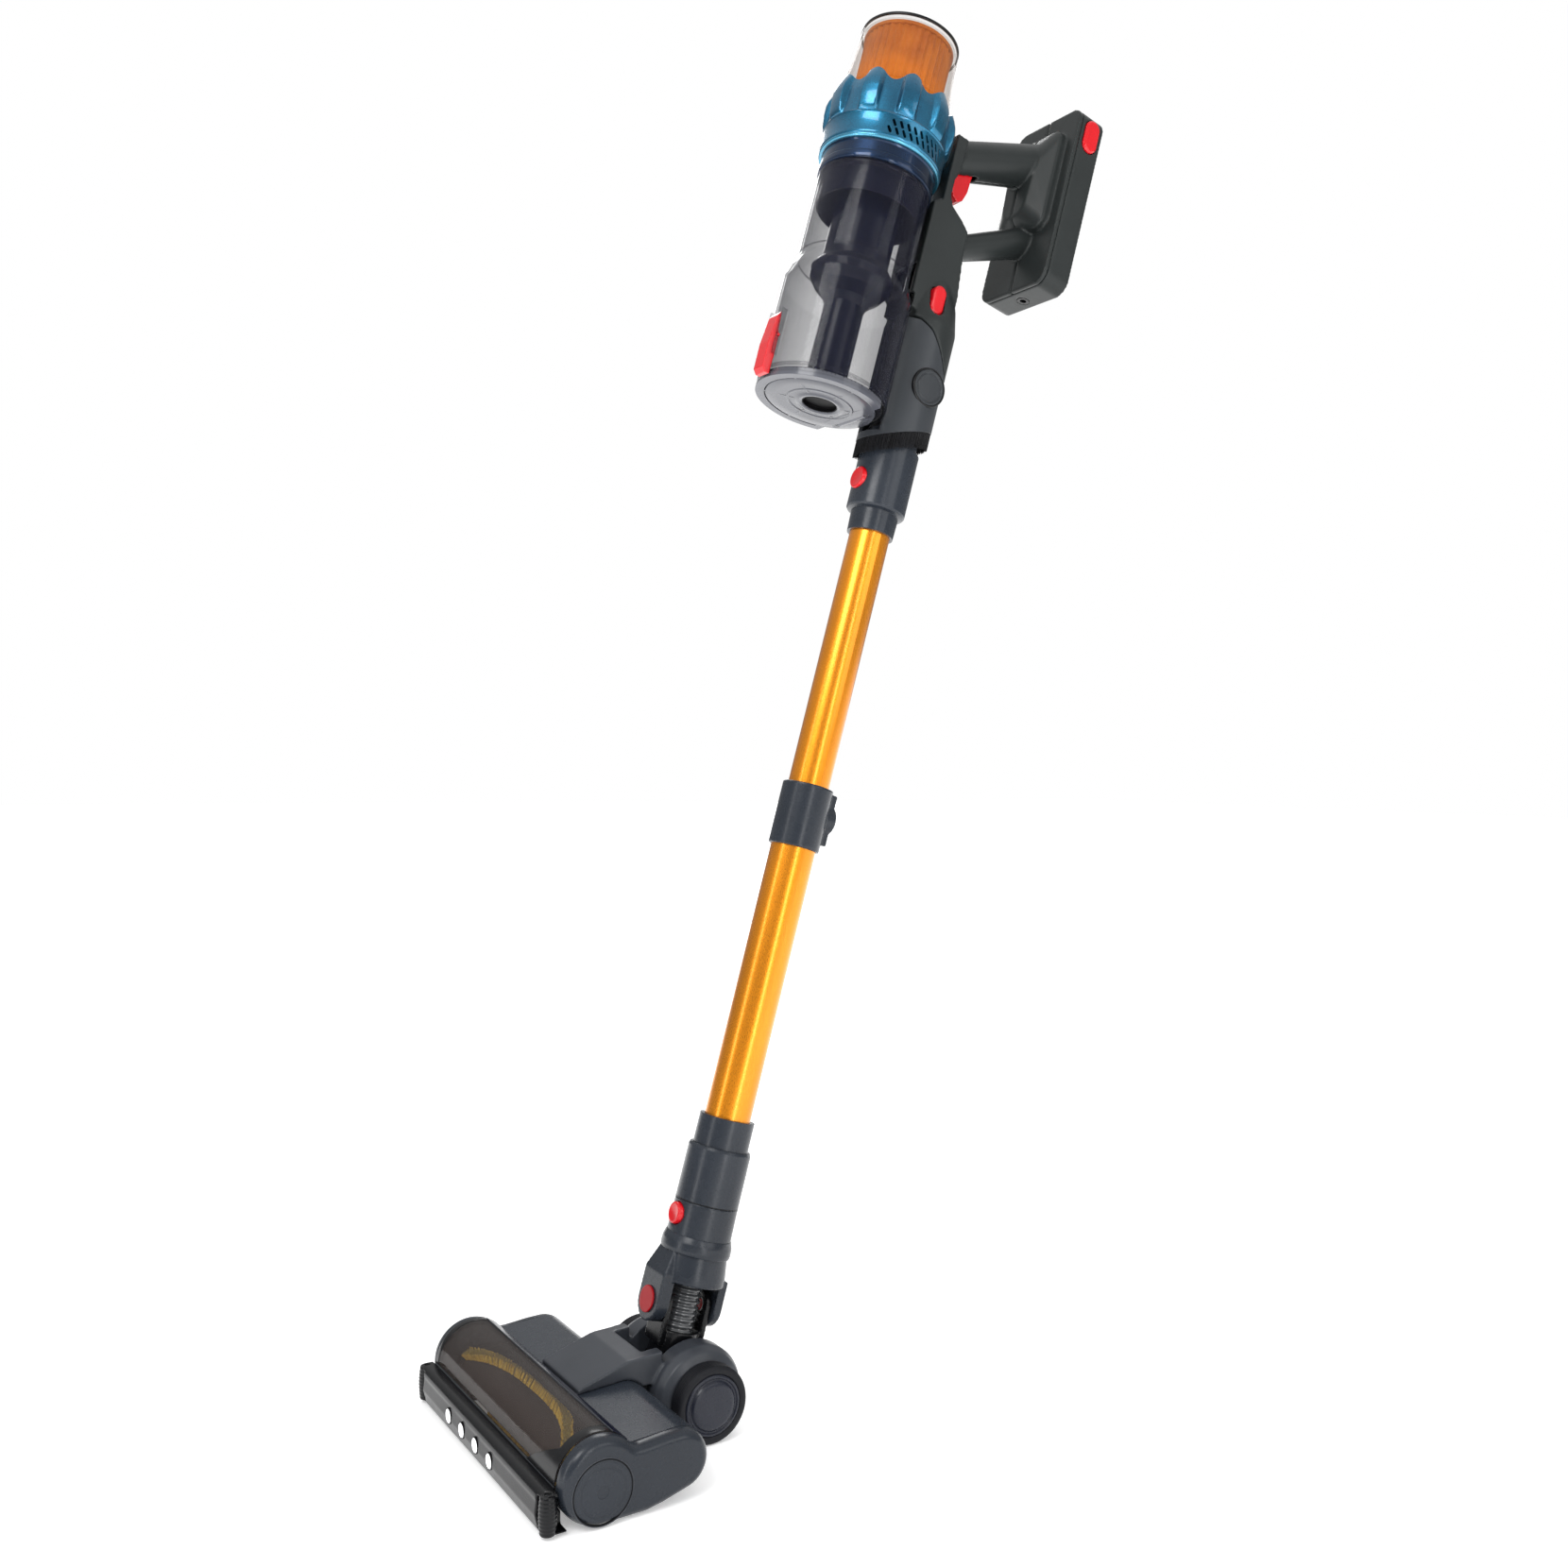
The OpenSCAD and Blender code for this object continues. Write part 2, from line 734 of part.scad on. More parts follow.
module handle_core() {
    wand_slab(spine_half - shell_t) spine_outline(shell_t);
    difference() {
        union() {
            handle_rod(grip_start, grip_slope, grip_r, 16, shell_t);
            handle_rod(bar_start, bar_slope, bar_r, 0, shell_t);
        }
        translate([-60, -dock_fwd - 6, 800]) cube([120, 60, 300]);
    }
}

// Slot and pivot space for the trigger
module trigger_space() {
    wand_slab(6.4) polygon([[11.5, 936], [11.5, 905], [-16, 905], [-16, 945], [0, 945]]);
    wand_rod(trigger_pivot[0], trigger_pivot[1], 4.4, -6.4, 12.8);
    wand_rod(trigger_pivot[0], trigger_pivot[1], 2 + run, -8, 16);
}

module body_shell(side) {
    color("#4a4e52") on_wand() difference() {
        handle_form();
        handle_core();
        translate([side > 0 ? -100 + run : -run, -60, 600]) cube([100, 260, 600]);
        bin_clearance(690, 812);
        bin_clearance(808, ring_s[0], bin_top_r + 0.3);
        bin_clearance(ring_s[0] - 0.4, ring_s[1], ring_r + 0.4);
        bin_clearance(ring_s[1] - 0.1, 990, crown_r + 0.4);
        inlet_space();
        trigger_space();
        if (side > 0) bin_button_pocket();
    }
}

// Clearance for the inlet duct's upper box
module inlet_space() {
    wand_box(-14.1, 14.1, -12.1, 30, 799.9, 838.1);
    translate([0, 0, 740]) cylinder(h = 62, r = 22.1);
}

module bin_button_pocket() {
    translate([10, -5, 812.5]) rotate([90, 0, 90]) linear_extrude(30) oblong(6.3, 24.6);
}

module bin_release_button() {
    color("#e0252f") on_wand() translate([17.2, -5, 812.5]) rotate([90, 0, 90]) {
        linear_extrude(7.4) oblong(6, 24);
        translate([0, 0, 7.4]) linear_extrude(0.8) oblong(5, 22);
    }
}

module trigger() {
    color("#d3212c") on_wand() {
        wand_slab(6) polygon([[9.4, 934], [8.4, 921], [4, 911], [-1.5, 907.8], [-6.5, 911],
            [-9.5, 920], [-10.5, 938], [0, 938]]);
        wand_rod(trigger_pivot[0], trigger_pivot[1], 4, -6, 12);
        wand_rod(trigger_pivot[0], trigger_pivot[1], 2, -7.8, 15.6);
    }
}

module control_board() {
    color("#1f6b3a") on_wand() {
        wand_box(-15, 15, 10, 11.6, 840, 884);
        wand_box(-9, 9, 11.6, 16, 850, 866);
    }
}

// ---------- cyclone unit ----------

// Ring on top of the bin, and the cup inside the crown that holds the motor
module motor_housing() {
    low = ring_s[0];
    top = ring_s[1];
    color("#1c2338") on_wand() on_bin() rotate_extrude() polygon([[12, low], [ring_r - 0.6, low],
        [ring_r, low + 3], [ring_r, top - 2], [ring_r - 0.8, top], [37.5, top], [37.5, 946],
        [35.5, 946], [35.5, low + 3], [12, low + 3]]);
}

module main_motor() {
    m = main_motor_s;
    color("#a6a8aa") on_wand() on_bin() {
        translate([0, 0, m[0]]) cylinder(h = m[1] - m[0], r = 16);
        translate([0, 0, m[1]]) cylinder(h = m[2] - m[1], r = 27);
        translate([0, 0, m[2]]) cylinder(h = m[3] - m[2], r = 9);
    }
}

module impeller() {
    foot = main_motor_s[3] + 0.2;
    color("#c9cbcd") on_wand() on_bin() {
        translate([0, 0, foot]) cylinder(h = 10.6, r1 = 8, r2 = 5);
        translate([0, 0, foot + 0.8]) cylinder(h = 1.6, r = 32);
        for (a = [0 : 40 : 320]) rotate(a) translate([6, -0.8, foot + 1.8]) cube([25, 1.6, 6]);
    }
}

// Slanted exhaust slots on both flanks of the crown's band
module vent_slots() {
    for (side = [0, 180], row = [0, 1], i = [0 : vent_columns - 1])
        rotate(side - 29 + row * 3 + i * 56 / (vent_columns - 1))
            translate([band_r - 3, 0, 904.2 + row * 6.2]) rotate([30, 0, 0])
                cube([12, 2, 5.4], center = true);
}

module crown() {
    low = crown_s[0];
    top = crown_s[1];
    color("#2e86a8") on_wand() on_bin() difference() {
        union() {
            rotate_extrude() polygon([[47.2, low], [band_r - 0.2, low + 1.5], [band_r, 916],
                [48, 930], [46.4, 942], [45.6, top - 7], [44.2, top - 7], [44.2, low + 4],
                [38, low + 4], [38, low + 0.4], [46.2, low + 0.4]]);
            intersection() {
                rotate_extrude() polygon([[44.2, 917], [band_r + 0.4, 919], [crown_r, 932],
                    [crown_r, 940], [50.4, 948], [47, top], [44.2, top]]);
                for (i = [0 : petals - 1]) rotate((i + 0.5) * 360 / petals)
                    translate([38, 0, 910]) linear_extrude(50)
                        polygon([[0, -8], [16, -11.5], [16, 11.5], [0, 8]]);
            }
        }
        vent_slots();
    }
}

module bin() {
    i = bin_wall;
    color("#b9c0c8", 0.35) on_wand() difference() {
        union() {
            on_bin() rotate_extrude() polygon([[bin_r - i, bin_s], [bin_r, bin_s],
                [bin_r, shoulder_s[0]], [bin_r - 1.6, shoulder_s[0] + 6],
                [bin_top_r + 1.6, shoulder_s[1] - 6], [bin_top_r, shoulder_s[1]],
                [bin_top_r, bin_top_s], [bin_top_r - i, bin_top_s], [bin_top_r - i, shoulder_s[1]],
                [bin_r - i, shoulder_s[0]]]);
            intersection() {
                on_bin() translate([0, 0, bin_s]) cylinder(h = 2, r = bin_r);
                wand_box(-60, 60, 10, hinge_fwd + 5, 700, 710);
            }
            for (x = [-24, 18]) {
                wand_rod(hinge_fwd, hinge_s, 3.4, x, 6);
                wand_box(x, x + 6, hinge_fwd - 3.4, hinge_fwd + 3.4, hinge_s, bin_s + 1);
            }
            for (x = [-9.2, 7.2]) wand_box(x, x + 2, bin_offset + 49.6, bin_offset + 55.5, 716, 752);
        }
        wand_rod(hinge_fwd, hinge_s, 1.5 + 0.02, -30, 60);
        wand_box(-12, 12, 10, 50, 816, 836);
        wand_rod(bin_offset + 53.6, 731, 1.3, -12, 24);
    }
}

module lid_hinge_pin() {
    color("#b5b7ba") on_wand() wand_rod(hinge_fwd, hinge_s, 1.5, -24, 48);
}

module bin_lid() {
    color("#7d828a") on_wand() difference() {
        union() {
            on_bin() translate([0, 0, lid_s]) cylinder(h = 3, r = bin_r);
            on_bin() translate([0, 0, lid_s + 3]) cylinder(h = bin_s - lid_s - 3.2, r = bin_r - 0.8);
            wand_rod(hinge_fwd, hinge_s, 3.2, -17.5, 35);
            wand_box(-17.5, 17.5, hinge_fwd, hinge_fwd + 5, hinge_s - 2.4, hinge_s + 3);
        }
        difference() {
            wand_box(-60, 60, 10, hinge_fwd + 4, 690, 710);
            wand_box(-17.5, 17.5, hinge_fwd - 5, hinge_fwd + 6, 690, 710);
        }
        difference() {
            wand_box(-60, 60, 10, hinge_fwd, 690, 710);
            wand_rod(hinge_fwd, hinge_s, 3.2, -17.5, 35);
        }
        wand_rod(hinge_fwd, hinge_s, 1.5 + run, -30, 60);
        on_bin() translate([0, 0, lid_s - 1]) cylinder(h = 5, r = 14);
        on_bin() difference() {
            translate([0, 0, lid_s - 1]) cylinder(h = 2.6, r = 44);
            translate([0, 0, lid_s - 2]) cylinder(h = 4, r = 19);
            for (a = [0 : 60 : 300]) rotate(a) translate([15, -0.9, lid_s - 2]) cube([32, 1.8, 5]);
            translate([-60, bin_offset - hinge_fwd - 10, lid_s - 2]) cube([120, 60, 5]);
        }
    }
}

module bin_latch() {
    f = bin_offset + bin_r;
    color("#dd2630") on_wand() {
        wand_slab(6.8) polygon([[f + 1.2, 700.5], [f + 5, 700.5], [f + 8, 704], [f + 8.2, 724],
            [f + 6, 746], [f + 3.6, 750], [f + 3, 746], [f + 2.6, 736], [f + 0.9, 731],
            [f + 0.9, 716], [f + 1.2, 704]]);
        wand_rod(f + 2.6, 731, 1.25, -9, 18);
    }
}

module cyclone_shroud() {
    top = bin_top_s - 0.2;
    color("#15171f") on_wand() on_bin() rotate_extrude() polygon([[39.2, 857], [40.8, 857],
        [40.8, top - 3.5], [42.4, top - 2], [42.4, top], [26.3, top], [26.3, top - 2],
        [39.2, top - 3.5]]);
}

module cyclone_body() {
    top = bin_top_s - 0.2;
    color("#20263c") on_wand() on_bin() rotate_extrude() polygon([[14.2, 707], [16, 707],
        [16, 780], [19, 786], [27, 793], [32, 800], [33, 806], [30, 811], [26.1, 814],
        [26.1, top], [24.3, top], [24.3, 813], [28, 809], [31.4, 806], [30.4, 801],
        [25.8, 794.6], [17.8, 787.6], [14.2, 781]]);
}

module filter_cartridge() {
    pleats = 36;
    foot = filter_s[0] + 1;
    head = filter_s[1] - 6;
    color("#c8642a") on_wand() on_bin() difference() {
        union() {
            translate([0, 0, foot + 2]) linear_extrude(head - foot - 2)
                polygon([for (i = [0 : 2 * pleats - 1])
                    let (a = i * 180 / pleats, r = i % 2 == 0 ? 35.2 : 33.4) [r * cos(a), r * sin(a)]]);
            translate([0, 0, foot]) cylinder(h = 2.5, r = 36.5);
            translate([0, 0, head]) cylinder(h = 2.4, r = 36.2);
        }
        translate([0, 0, foot - 1]) cylinder(h = head - foot - 2, r = 26);
    }
}

module filter_sleeve() {
    low = filter_s[0];
    top = filter_s[1];
    color("#e6e2dc", 0.3) on_wand() on_bin() rotate_extrude() polygon([[filter_r[0] - 1.5, low],
        [filter_r[0], low], [filter_r[0], low + 14], [filter_r[1], top - 2], [filter_r[1] - 1, top],
        [0, top], [0, top - 3.4], [filter_r[1] - 1.5, top - 3.4], [filter_r[0] - 1.5, low + 14]]);
}

// ---------- battery ----------

module battery_case() {
    f0 = battery_fwd[0];
    f1 = battery_fwd[1];
    s0 = battery_s[0];
    s1 = battery_s[1];
    color("#34383a") on_wand() difference() {
        corner_plate(battery_w, s0, s1, 12, f0, f1);
        wand_box(-32.7, 32.7, f0 + 2.2, f1 - 2.2, s0 + 3, s1 - 4);
        wand_box(-37.8, 37.8, f0 + 2.2, f1 - 2.2, s0 + 8, 986);
        for (side = [-1, 1]) translate([side * 34.5, -battery_mid, battery_button_s])
            rotate([90, 0, side * 90]) linear_extrude(10) oblong(7.8, 28.6);
        translate([0, -battery_mid, s0 - 1]) cylinder(h = 10, r = 5.05);
    }
}

module battery_cells() {
    color("#3f7fb0") on_wand() for (i = [0 : cells - 1])
        wand_rod(battery_mid, battery_s[0] + 18.4 + i * 18.3, cell_r, -cell_l / 2, cell_l);
}

module battery_button(side) {
    color("#e0252f") on_wand() translate([side * 37, -battery_mid, battery_button_s])
        rotate([90, 0, side * 90]) {
            linear_extrude(3.8) oblong(7.5, 28);
            linear_extrude(4.8) oblong(6.4, 25.8);
        }
}

module charging_socket() {
    color("#202224") on_wand() translate([0, -battery_mid, battery_s[0]]) difference() {
        cylinder(h = 8.9, r = 5);
        translate([0, 0, -1]) cylinder(h = 8.5, r = 2.75);
    }
}

placed() head_base();
placed() head_cover();
placed() neck_housing();
placed() brush_window();
placed() front_bumper();
placed() lamp_lenses();
placed() end_cap(-1);  // end_cap_left
placed() end_cap(1);  // end_cap_right
placed() brush_release_cap();
placed() corner_roller(-1);  // corner_roller_left
placed() corner_roller(1);  // corner_roller_right
placed() brush_core();
placed() brush_bristles();
placed() brush_pulley();
placed() brush_bearings();
placed() drive_belt();
placed() brush_motor();
placed() motor_pulley();
placed() wheel_axles();
placed() wheel(-1);  // wheel_left
placed() wheel(1);  // wheel_right
placed() tyre(-1);  // tyre_left
placed() tyre(1);  // tyre_right
placed() neck_elbow();
placed() neck_yoke();
placed() swivel_pivots();
placed() neck_hose();
placed() neck_button();
placed() lower_connector();
placed() lower_tube();
placed() wand_collar();
placed() wand_lock_button();
placed() upper_tube();
placed() upper_connector();
placed() wand_button();
placed() dusting_sleeve();
placed() dusting_bristles();
placed() inlet_duct();
placed() body_shell(-1);  // body_shell_left
placed() body_shell(1);  // body_shell_right
placed() bin_release_button();
placed() trigger();
placed() control_board();
placed() motor_housing();
placed() main_motor();
placed() impeller();
placed() crown();
placed() bin();
placed() bin_lid();
placed() lid_hinge_pin();
placed() bin_latch();
placed() cyclone_shroud();
placed() cyclone_body();
placed() filter_cartridge();
placed() filter_sleeve();
placed() battery_case();
placed() battery_cells();
placed() battery_button(-1);  // battery_button_left
placed() battery_button(1);  // battery_button_right
placed() charging_socket();
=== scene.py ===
"""Looks of the cordless stick vacuum cleaner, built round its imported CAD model. Metres, +Z up."""

import json
import math
import random

import bmesh
import bpy
from mathutils import Matrix, Vector


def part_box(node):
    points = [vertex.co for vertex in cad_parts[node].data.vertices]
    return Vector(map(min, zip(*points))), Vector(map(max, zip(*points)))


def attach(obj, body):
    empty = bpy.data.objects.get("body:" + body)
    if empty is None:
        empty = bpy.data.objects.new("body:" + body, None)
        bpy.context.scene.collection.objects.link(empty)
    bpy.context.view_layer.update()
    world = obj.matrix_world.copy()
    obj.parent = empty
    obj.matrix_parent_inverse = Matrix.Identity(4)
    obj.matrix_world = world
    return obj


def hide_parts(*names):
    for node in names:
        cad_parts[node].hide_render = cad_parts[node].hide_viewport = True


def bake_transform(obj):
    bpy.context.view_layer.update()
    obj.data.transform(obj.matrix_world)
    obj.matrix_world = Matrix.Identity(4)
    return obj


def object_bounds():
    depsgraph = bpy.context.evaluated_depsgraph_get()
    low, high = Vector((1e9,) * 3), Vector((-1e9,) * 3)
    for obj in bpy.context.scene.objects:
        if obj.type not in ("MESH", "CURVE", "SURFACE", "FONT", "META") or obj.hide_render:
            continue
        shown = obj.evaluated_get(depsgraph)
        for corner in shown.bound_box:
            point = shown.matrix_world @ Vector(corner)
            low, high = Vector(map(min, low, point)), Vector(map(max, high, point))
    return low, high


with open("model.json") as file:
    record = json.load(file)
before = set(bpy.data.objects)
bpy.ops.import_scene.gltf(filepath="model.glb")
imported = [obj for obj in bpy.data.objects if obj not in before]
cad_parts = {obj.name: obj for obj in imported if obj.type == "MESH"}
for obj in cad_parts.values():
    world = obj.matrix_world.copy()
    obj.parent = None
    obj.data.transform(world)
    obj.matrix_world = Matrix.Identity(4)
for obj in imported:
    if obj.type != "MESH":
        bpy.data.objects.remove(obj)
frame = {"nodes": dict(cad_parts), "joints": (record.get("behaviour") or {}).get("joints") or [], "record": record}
CAD_LO, CAD_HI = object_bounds()
NODES = frame["nodes"]
JOINTS = {j["name"]: j for j in frame["joints"]}
MM = 0.001
random.seed(7)

# ---------- the frame's own directions ----------

ALONG = -Vector(JOINTS["wand_telescope"]["axis"]).normalized()
LEAN = math.atan2(ALONG.y, ALONG.z)
PIVOT_S = 21 * MM
NECK = Vector(JOINTS["neck_swivel"]["pos_m"]) - ALONG * PIVOT_S
WAND = Matrix.Translation(NECK) @ Matrix.Rotation(-LEAN, 4, "X")
BIN_FORWARD = 73             # the cyclone unit's axis, this far in front of the wand's
BIN = WAND @ Matrix.Translation((0, -BIN_FORWARD * MM, 0))
BRUSH = Vector(JOINTS["brush_spin"]["pos_m"])
WHEEL = Vector(JOINTS["right_wheel_spin"]["pos_m"])
HEAD_Y = BRUSH.y + 28 * MM   # the floor head's own zero, where its deck starts
AHEAD = Matrix.Rotation(math.radians(90), 4, "X")    # turns +Z to the front, -Y
SIDES = ((1, "right"), (-1, "left"))


def sideways(side):
    """Turns +Z to the right, +X, for side 1 and to the left for side -1."""
    return Matrix.Rotation(math.radians(90 * side), 4, "Y")


def on_wand(x, forward, along):
    """A point given in millimetres across, forward of and along the wand."""
    return WAND @ Vector((x * MM, -forward * MM, along * MM))


def wand_place(x, forward, along, turn):
    """A placement at a point of the wand, leaning with it and then turned."""
    return Matrix.Translation(on_wand(x, forward, along)) @ WAND.to_3x3().to_4x4() @ turn


# ---------- materials ----------

class Shader:
    """A Principled material with a few helpers for procedural detail."""

    def __init__(self, name):
        self.mat = bpy.data.materials.new(name)
        self.mat.use_nodes = True
        self.tree = self.mat.node_tree
        self.bsdf = self.tree.nodes["Principled BSDF"]
        self.coords = self.add("ShaderNodeTexCoord").outputs["Object"]

    def add(self, kind, **values):
        """A new node, its settings and sockets set by name with _ for a space."""
        node = self.tree.nodes.new(kind)
        for key, value in values.items():
            if hasattr(node, key):
                setattr(node, key, value)
            else:
                node.inputs[key.replace("_", " ")].default_value = value
        return node

    def link(self, out, into):
        self.tree.links.new(out, into)

    def set(self, **values):
        for key, value in values.items():
            self.bsdf.inputs[key.replace("_", " ")].default_value = value

    def stretched(self, scale, turn=(0, 0, 0)):
        """Object coordinates turned and scaled, for lines and streaks."""
        mapping = self.add("ShaderNodeMapping")
        mapping.inputs["Rotation"].default_value = turn
        mapping.inputs["Scale"].default_value = scale
        self.link(self.coords, mapping.inputs["Vector"])
        return mapping.outputs["Vector"]

    def noise(self, scale, detail=3.0, vector=None):
        node = self.add("ShaderNodeTexNoise", Scale=scale, Detail=detail)
        self.link(vector or self.coords, node.inputs["Vector"])
        return node.outputs["Fac"]

    def remap(self, value, low, high, start=0.0, end=1.0):
        """Turns start..end of a value into low..high."""
        node = self.add("ShaderNodeMapRange")
        for key, number in (("From Min", start), ("From Max", end), ("To Min", low), ("To Max", high)):
            node.inputs[key].default_value = number
        self.link(value, node.inputs["Value"])
        return node.outputs["Result"]

    def tones(self, value, dark, light, start=0.3, end=0.7):
        """A colour between two, by a value."""
        ramp = self.add("ShaderNodeValToRGB")
        ramp.color_ramp.elements[0].position, ramp.color_ramp.elements[1].position = start, end
        ramp.color_ramp.elements[0].color = (*dark, 1)
        ramp.color_ramp.elements[1].color = (*light, 1)
        self.link(value, ramp.inputs["Fac"])
        return ramp.outputs["Color"]

    def mix(self, fac, a, b):
        node = self.add("ShaderNodeMix", data_type="RGBA")
        self.link(fac, node.inputs["Factor"])
        self.link(a, node.inputs["A"])
        if isinstance(b, tuple):
            node.inputs["B"].default_value = (*b, 1)
        else:
            self.link(b, node.inputs["B"])
        return node.outputs["Result"]

    def bump(self, height, strength, distance, edge=0.0):
        """Relief on the surface, over edges rounded by a radius if one is given."""
        node = self.add("ShaderNodeBump", Strength=strength, Distance=distance)
        self.link(height, node.inputs["Height"])
        if edge:
            bevel = self.add("ShaderNodeBevel", Radius=edge)
            bevel.samples = 4
            self.link(bevel.outputs["Normal"], node.inputs["Normal"])
        self.link(node.outputs["Normal"], self.bsdf.inputs["Normal"])


def shade(colour, factor):
    """A colour made darker or lighter."""
    return tuple(min(1.0, c * factor) for c in colour)


def plastic(name, colour, rough=0.42, grain=0.12, tone=0.1, edge=0.7 * MM, grain_scale=2600, coat=0.0,
            gloss=0.3):
    """Moulded plastic: spark-eroded grain, slow tone drift, lighter edges that are a painted highlight, and faint
    scuffs.
    """
    s = Shader(name)
    drift = s.tones(s.noise(22, 4), shade(colour, 1 - tone), shade(colour, 1 + tone))
    # Painted highlight: convex edges, found by pointiness, are mixed towards a lighter colour as if they caught
    # the light.
    edge_highlight = s.remap(s.add("ShaderNodeNewGeometry").outputs["Pointiness"], 0, 0.35, 0.52, 0.62)
    s.link(s.mix(edge_highlight, drift, shade(colour, 1.7)), s.bsdf.inputs["Base Color"])
    scuff = s.noise(140, 5)
    s.link(s.remap(scuff, rough - 0.02, rough + 0.04, 0.3, 0.7), s.bsdf.inputs["Roughness"])
    s.bump(s.noise(grain_scale, 2), grain, 0.06 * MM, edge)
    s.set(Coat_Weight=coat, Coat_Roughness=0.08, Specular_IOR_Level=gloss)
    return s.mat


def anodised(name, colour):
    """Gold anodised tube: fine drawn lines along it and a slight drift of tone."""
    s = Shader(name)
    lines = s.noise(1, 4, s.stretched((3200, 3200, 9), (LEAN, 0, 0)))
    drift = s.tones(s.noise(9, 3), shade(colour, 0.9), shade(colour, 1.06))
    s.link(s.mix(s.remap(lines, 0, 0.22, 0.45, 0.8), drift, shade(colour, 0.62)),
           s.bsdf.inputs["Base Color"])
    s.link(s.remap(lines, 0.24, 0.36, 0.3, 0.7), s.bsdf.inputs["Roughness"])
    s.bump(lines, 0.08, 0.03 * MM, 0.3 * MM)
    s.set(Metallic=0.86, Coat_Weight=0.35, Coat_Roughness=0.16)
    return s.mat


def painted_metallic(name, colour, deep):
    """Metallic lacquer: fine flakes under a glossy coat."""
    s = Shader(name)
    flakes = s.add("ShaderNodeTexVoronoi", Scale=2400)
    s.link(s.coords, flakes.inputs["Vector"])
    sparkle = s.tones(flakes.outputs["Color"], shade(colour, 0.82), shade(colour, 1.25))
    clouded = s.mix(s.remap(s.noise(30, 3), 0, 0.55, 0.35, 0.75), sparkle, deep)
    s.link(clouded, s.bsdf.inputs["Base Color"])
    s.link(s.remap(s.noise(300, 3), 0.24, 0.34), s.bsdf.inputs["Roughness"])
    s.bump(flakes.outputs["Distance"], 0.05, 0.03 * MM, 0.5 * MM)
    s.set(Metallic=0.88, Coat_Weight=0.5, Coat_Roughness=0.05)
    return s.mat


def clear(name, colour, face, edge, rough=0.07):
    """Clear plastic wall: denser where it is seen edge-on, with faint moulding streaks."""
    s = Shader(name)
    streaks = s.noise(1, 3, s.stretched((24, 24, 5), (LEAN, 0, 0)))
    s.link(s.tones(streaks, shade(colour, 0.88), shade(colour, 1.1)), s.bsdf.inputs["Base Color"])
    facing = s.add("ShaderNodeLayerWeight", Blend=0.35).outputs["Facing"]
    s.link(s.remap(facing, face, edge, 0.0, 0.95), s.bsdf.inputs["Alpha"])
    s.link(s.remap(s.noise(240, 3), rough, rough + 0.06), s.bsdf.inputs["Roughness"])
    s.bump(s.noise(12, 1), 0.01, 0.02 * MM)
    s.set(Coat_Weight=0.1, Coat_Roughness=0.04, Specular_IOR_Level=0.3)
    s.mat.surface_render_method = "BLENDED"
    return s.mat


def fibres(name, dark, light, sheen=0.3):
    """Nylon bristle: every tuft a little different in tone along its length."""
    s = Shader(name)
    s.link(s.tones(s.noise(900, 4), dark, light, 0.35, 0.65), s.bsdf.inputs["Base Color"])
    s.link(s.remap(s.noise(500, 2), 0.5, 0.7), s.bsdf.inputs["Roughness"])
    s.bump(s.noise(4000, 2), 0.25, 0.1 * MM)
    s.set(Sheen_Weight=sheen, Sheen_Roughness=0.5, Specular_IOR_Level=0.2)
    return s.mat


def brushed(name, colour):
    """Turned or drawn bare metal."""
    s = Shader(name)
    lines = s.noise(1, 3, s.stretched((30, 2600, 2600)))
    s.link(s.tones(lines, shade(colour, 0.8), shade(colour, 1.1)), s.bsdf.inputs["Base Color"])
    s.link(s.remap(lines, 0.24, 0.4), s.bsdf.inputs["Roughness"])
    s.bump(lines, 0.06, 0.03 * MM, 0.2 * MM)
    s.set(Metallic=1.0)
    return s.mat


def lamp_glass(name):
    """White lamp lens, faintly lit from inside, with a ribbed diffuser."""
    s = Shader(name)
    ribs = s.add("ShaderNodeTexWave", Scale=700, Distortion=0.4)
    s.link(s.coords, ribs.inputs["Vector"])
    colour = s.tones(ribs.outputs["Fac"], (0.86, 0.89, 0.93), (1, 1, 1))
    s.link(colour, s.bsdf.inputs["Base Color"])
    s.link(colour, s.bsdf.inputs["Emission Color"])
    s.link(s.remap(s.noise(400), 0.12, 0.2), s.bsdf.inputs["Roughness"])
    s.bump(ribs.outputs["Fac"], 0.1, 0.05 * MM)
    s.set(Emission_Strength=0.8)
    return s.mat


SLATE = plastic("slate", (0.017, 0.021, 0.028), 0.26, grain=0.012)
SLATE_LIGHT = plastic("slate_light", (0.034, 0.038, 0.046), 0.34, grain=0.03)
CHARCOAL = plastic("charcoal", (0.016, 0.019, 0.019), 0.36, grain=0.06, gloss=0.24)
DUCT = plastic("duct", (0.024, 0.027, 0.031), 0.36, grain=0.06)
BLACK = plastic("black", (0.0035, 0.0037, 0.0045), 0.22, grain=0.02, gloss=0.26)
# Near-black, dull and barely glossy: used only for painted shade in a groove, a hole and behind slots.
SHADE_BLACK = plastic("painted_shade_black", (0.002, 0.002, 0.0025), 0.5, grain=0.04, gloss=0.1)
GLOSS_NAVY = plastic("gloss_navy", (0.0035, 0.0045, 0.014), 0.2, grain=0.006, gloss=0.2)
RED = plastic("red", (0.50, 0.003, 0.008), 0.22, grain=0.03, tone=0.06, edge=0.5 * MM, coat=0.2)
DULL_RED = plastic("dull_red", (0.30, 0.004, 0.008), 0.36, grain=0.04, tone=0.06, edge=0.3 * MM,
                   gloss=0.2)
TYRE = plastic("tyre", (0.006, 0.0065, 0.009), 0.5, grain=0.15, grain_scale=1400, gloss=0.2)
HUB = plastic("hub", (0.015, 0.017, 0.026), 0.26, grain=0.012)
LID = plastic("lid", (0.062, 0.065, 0.078), 0.2, grain=0.02, coat=0.2)
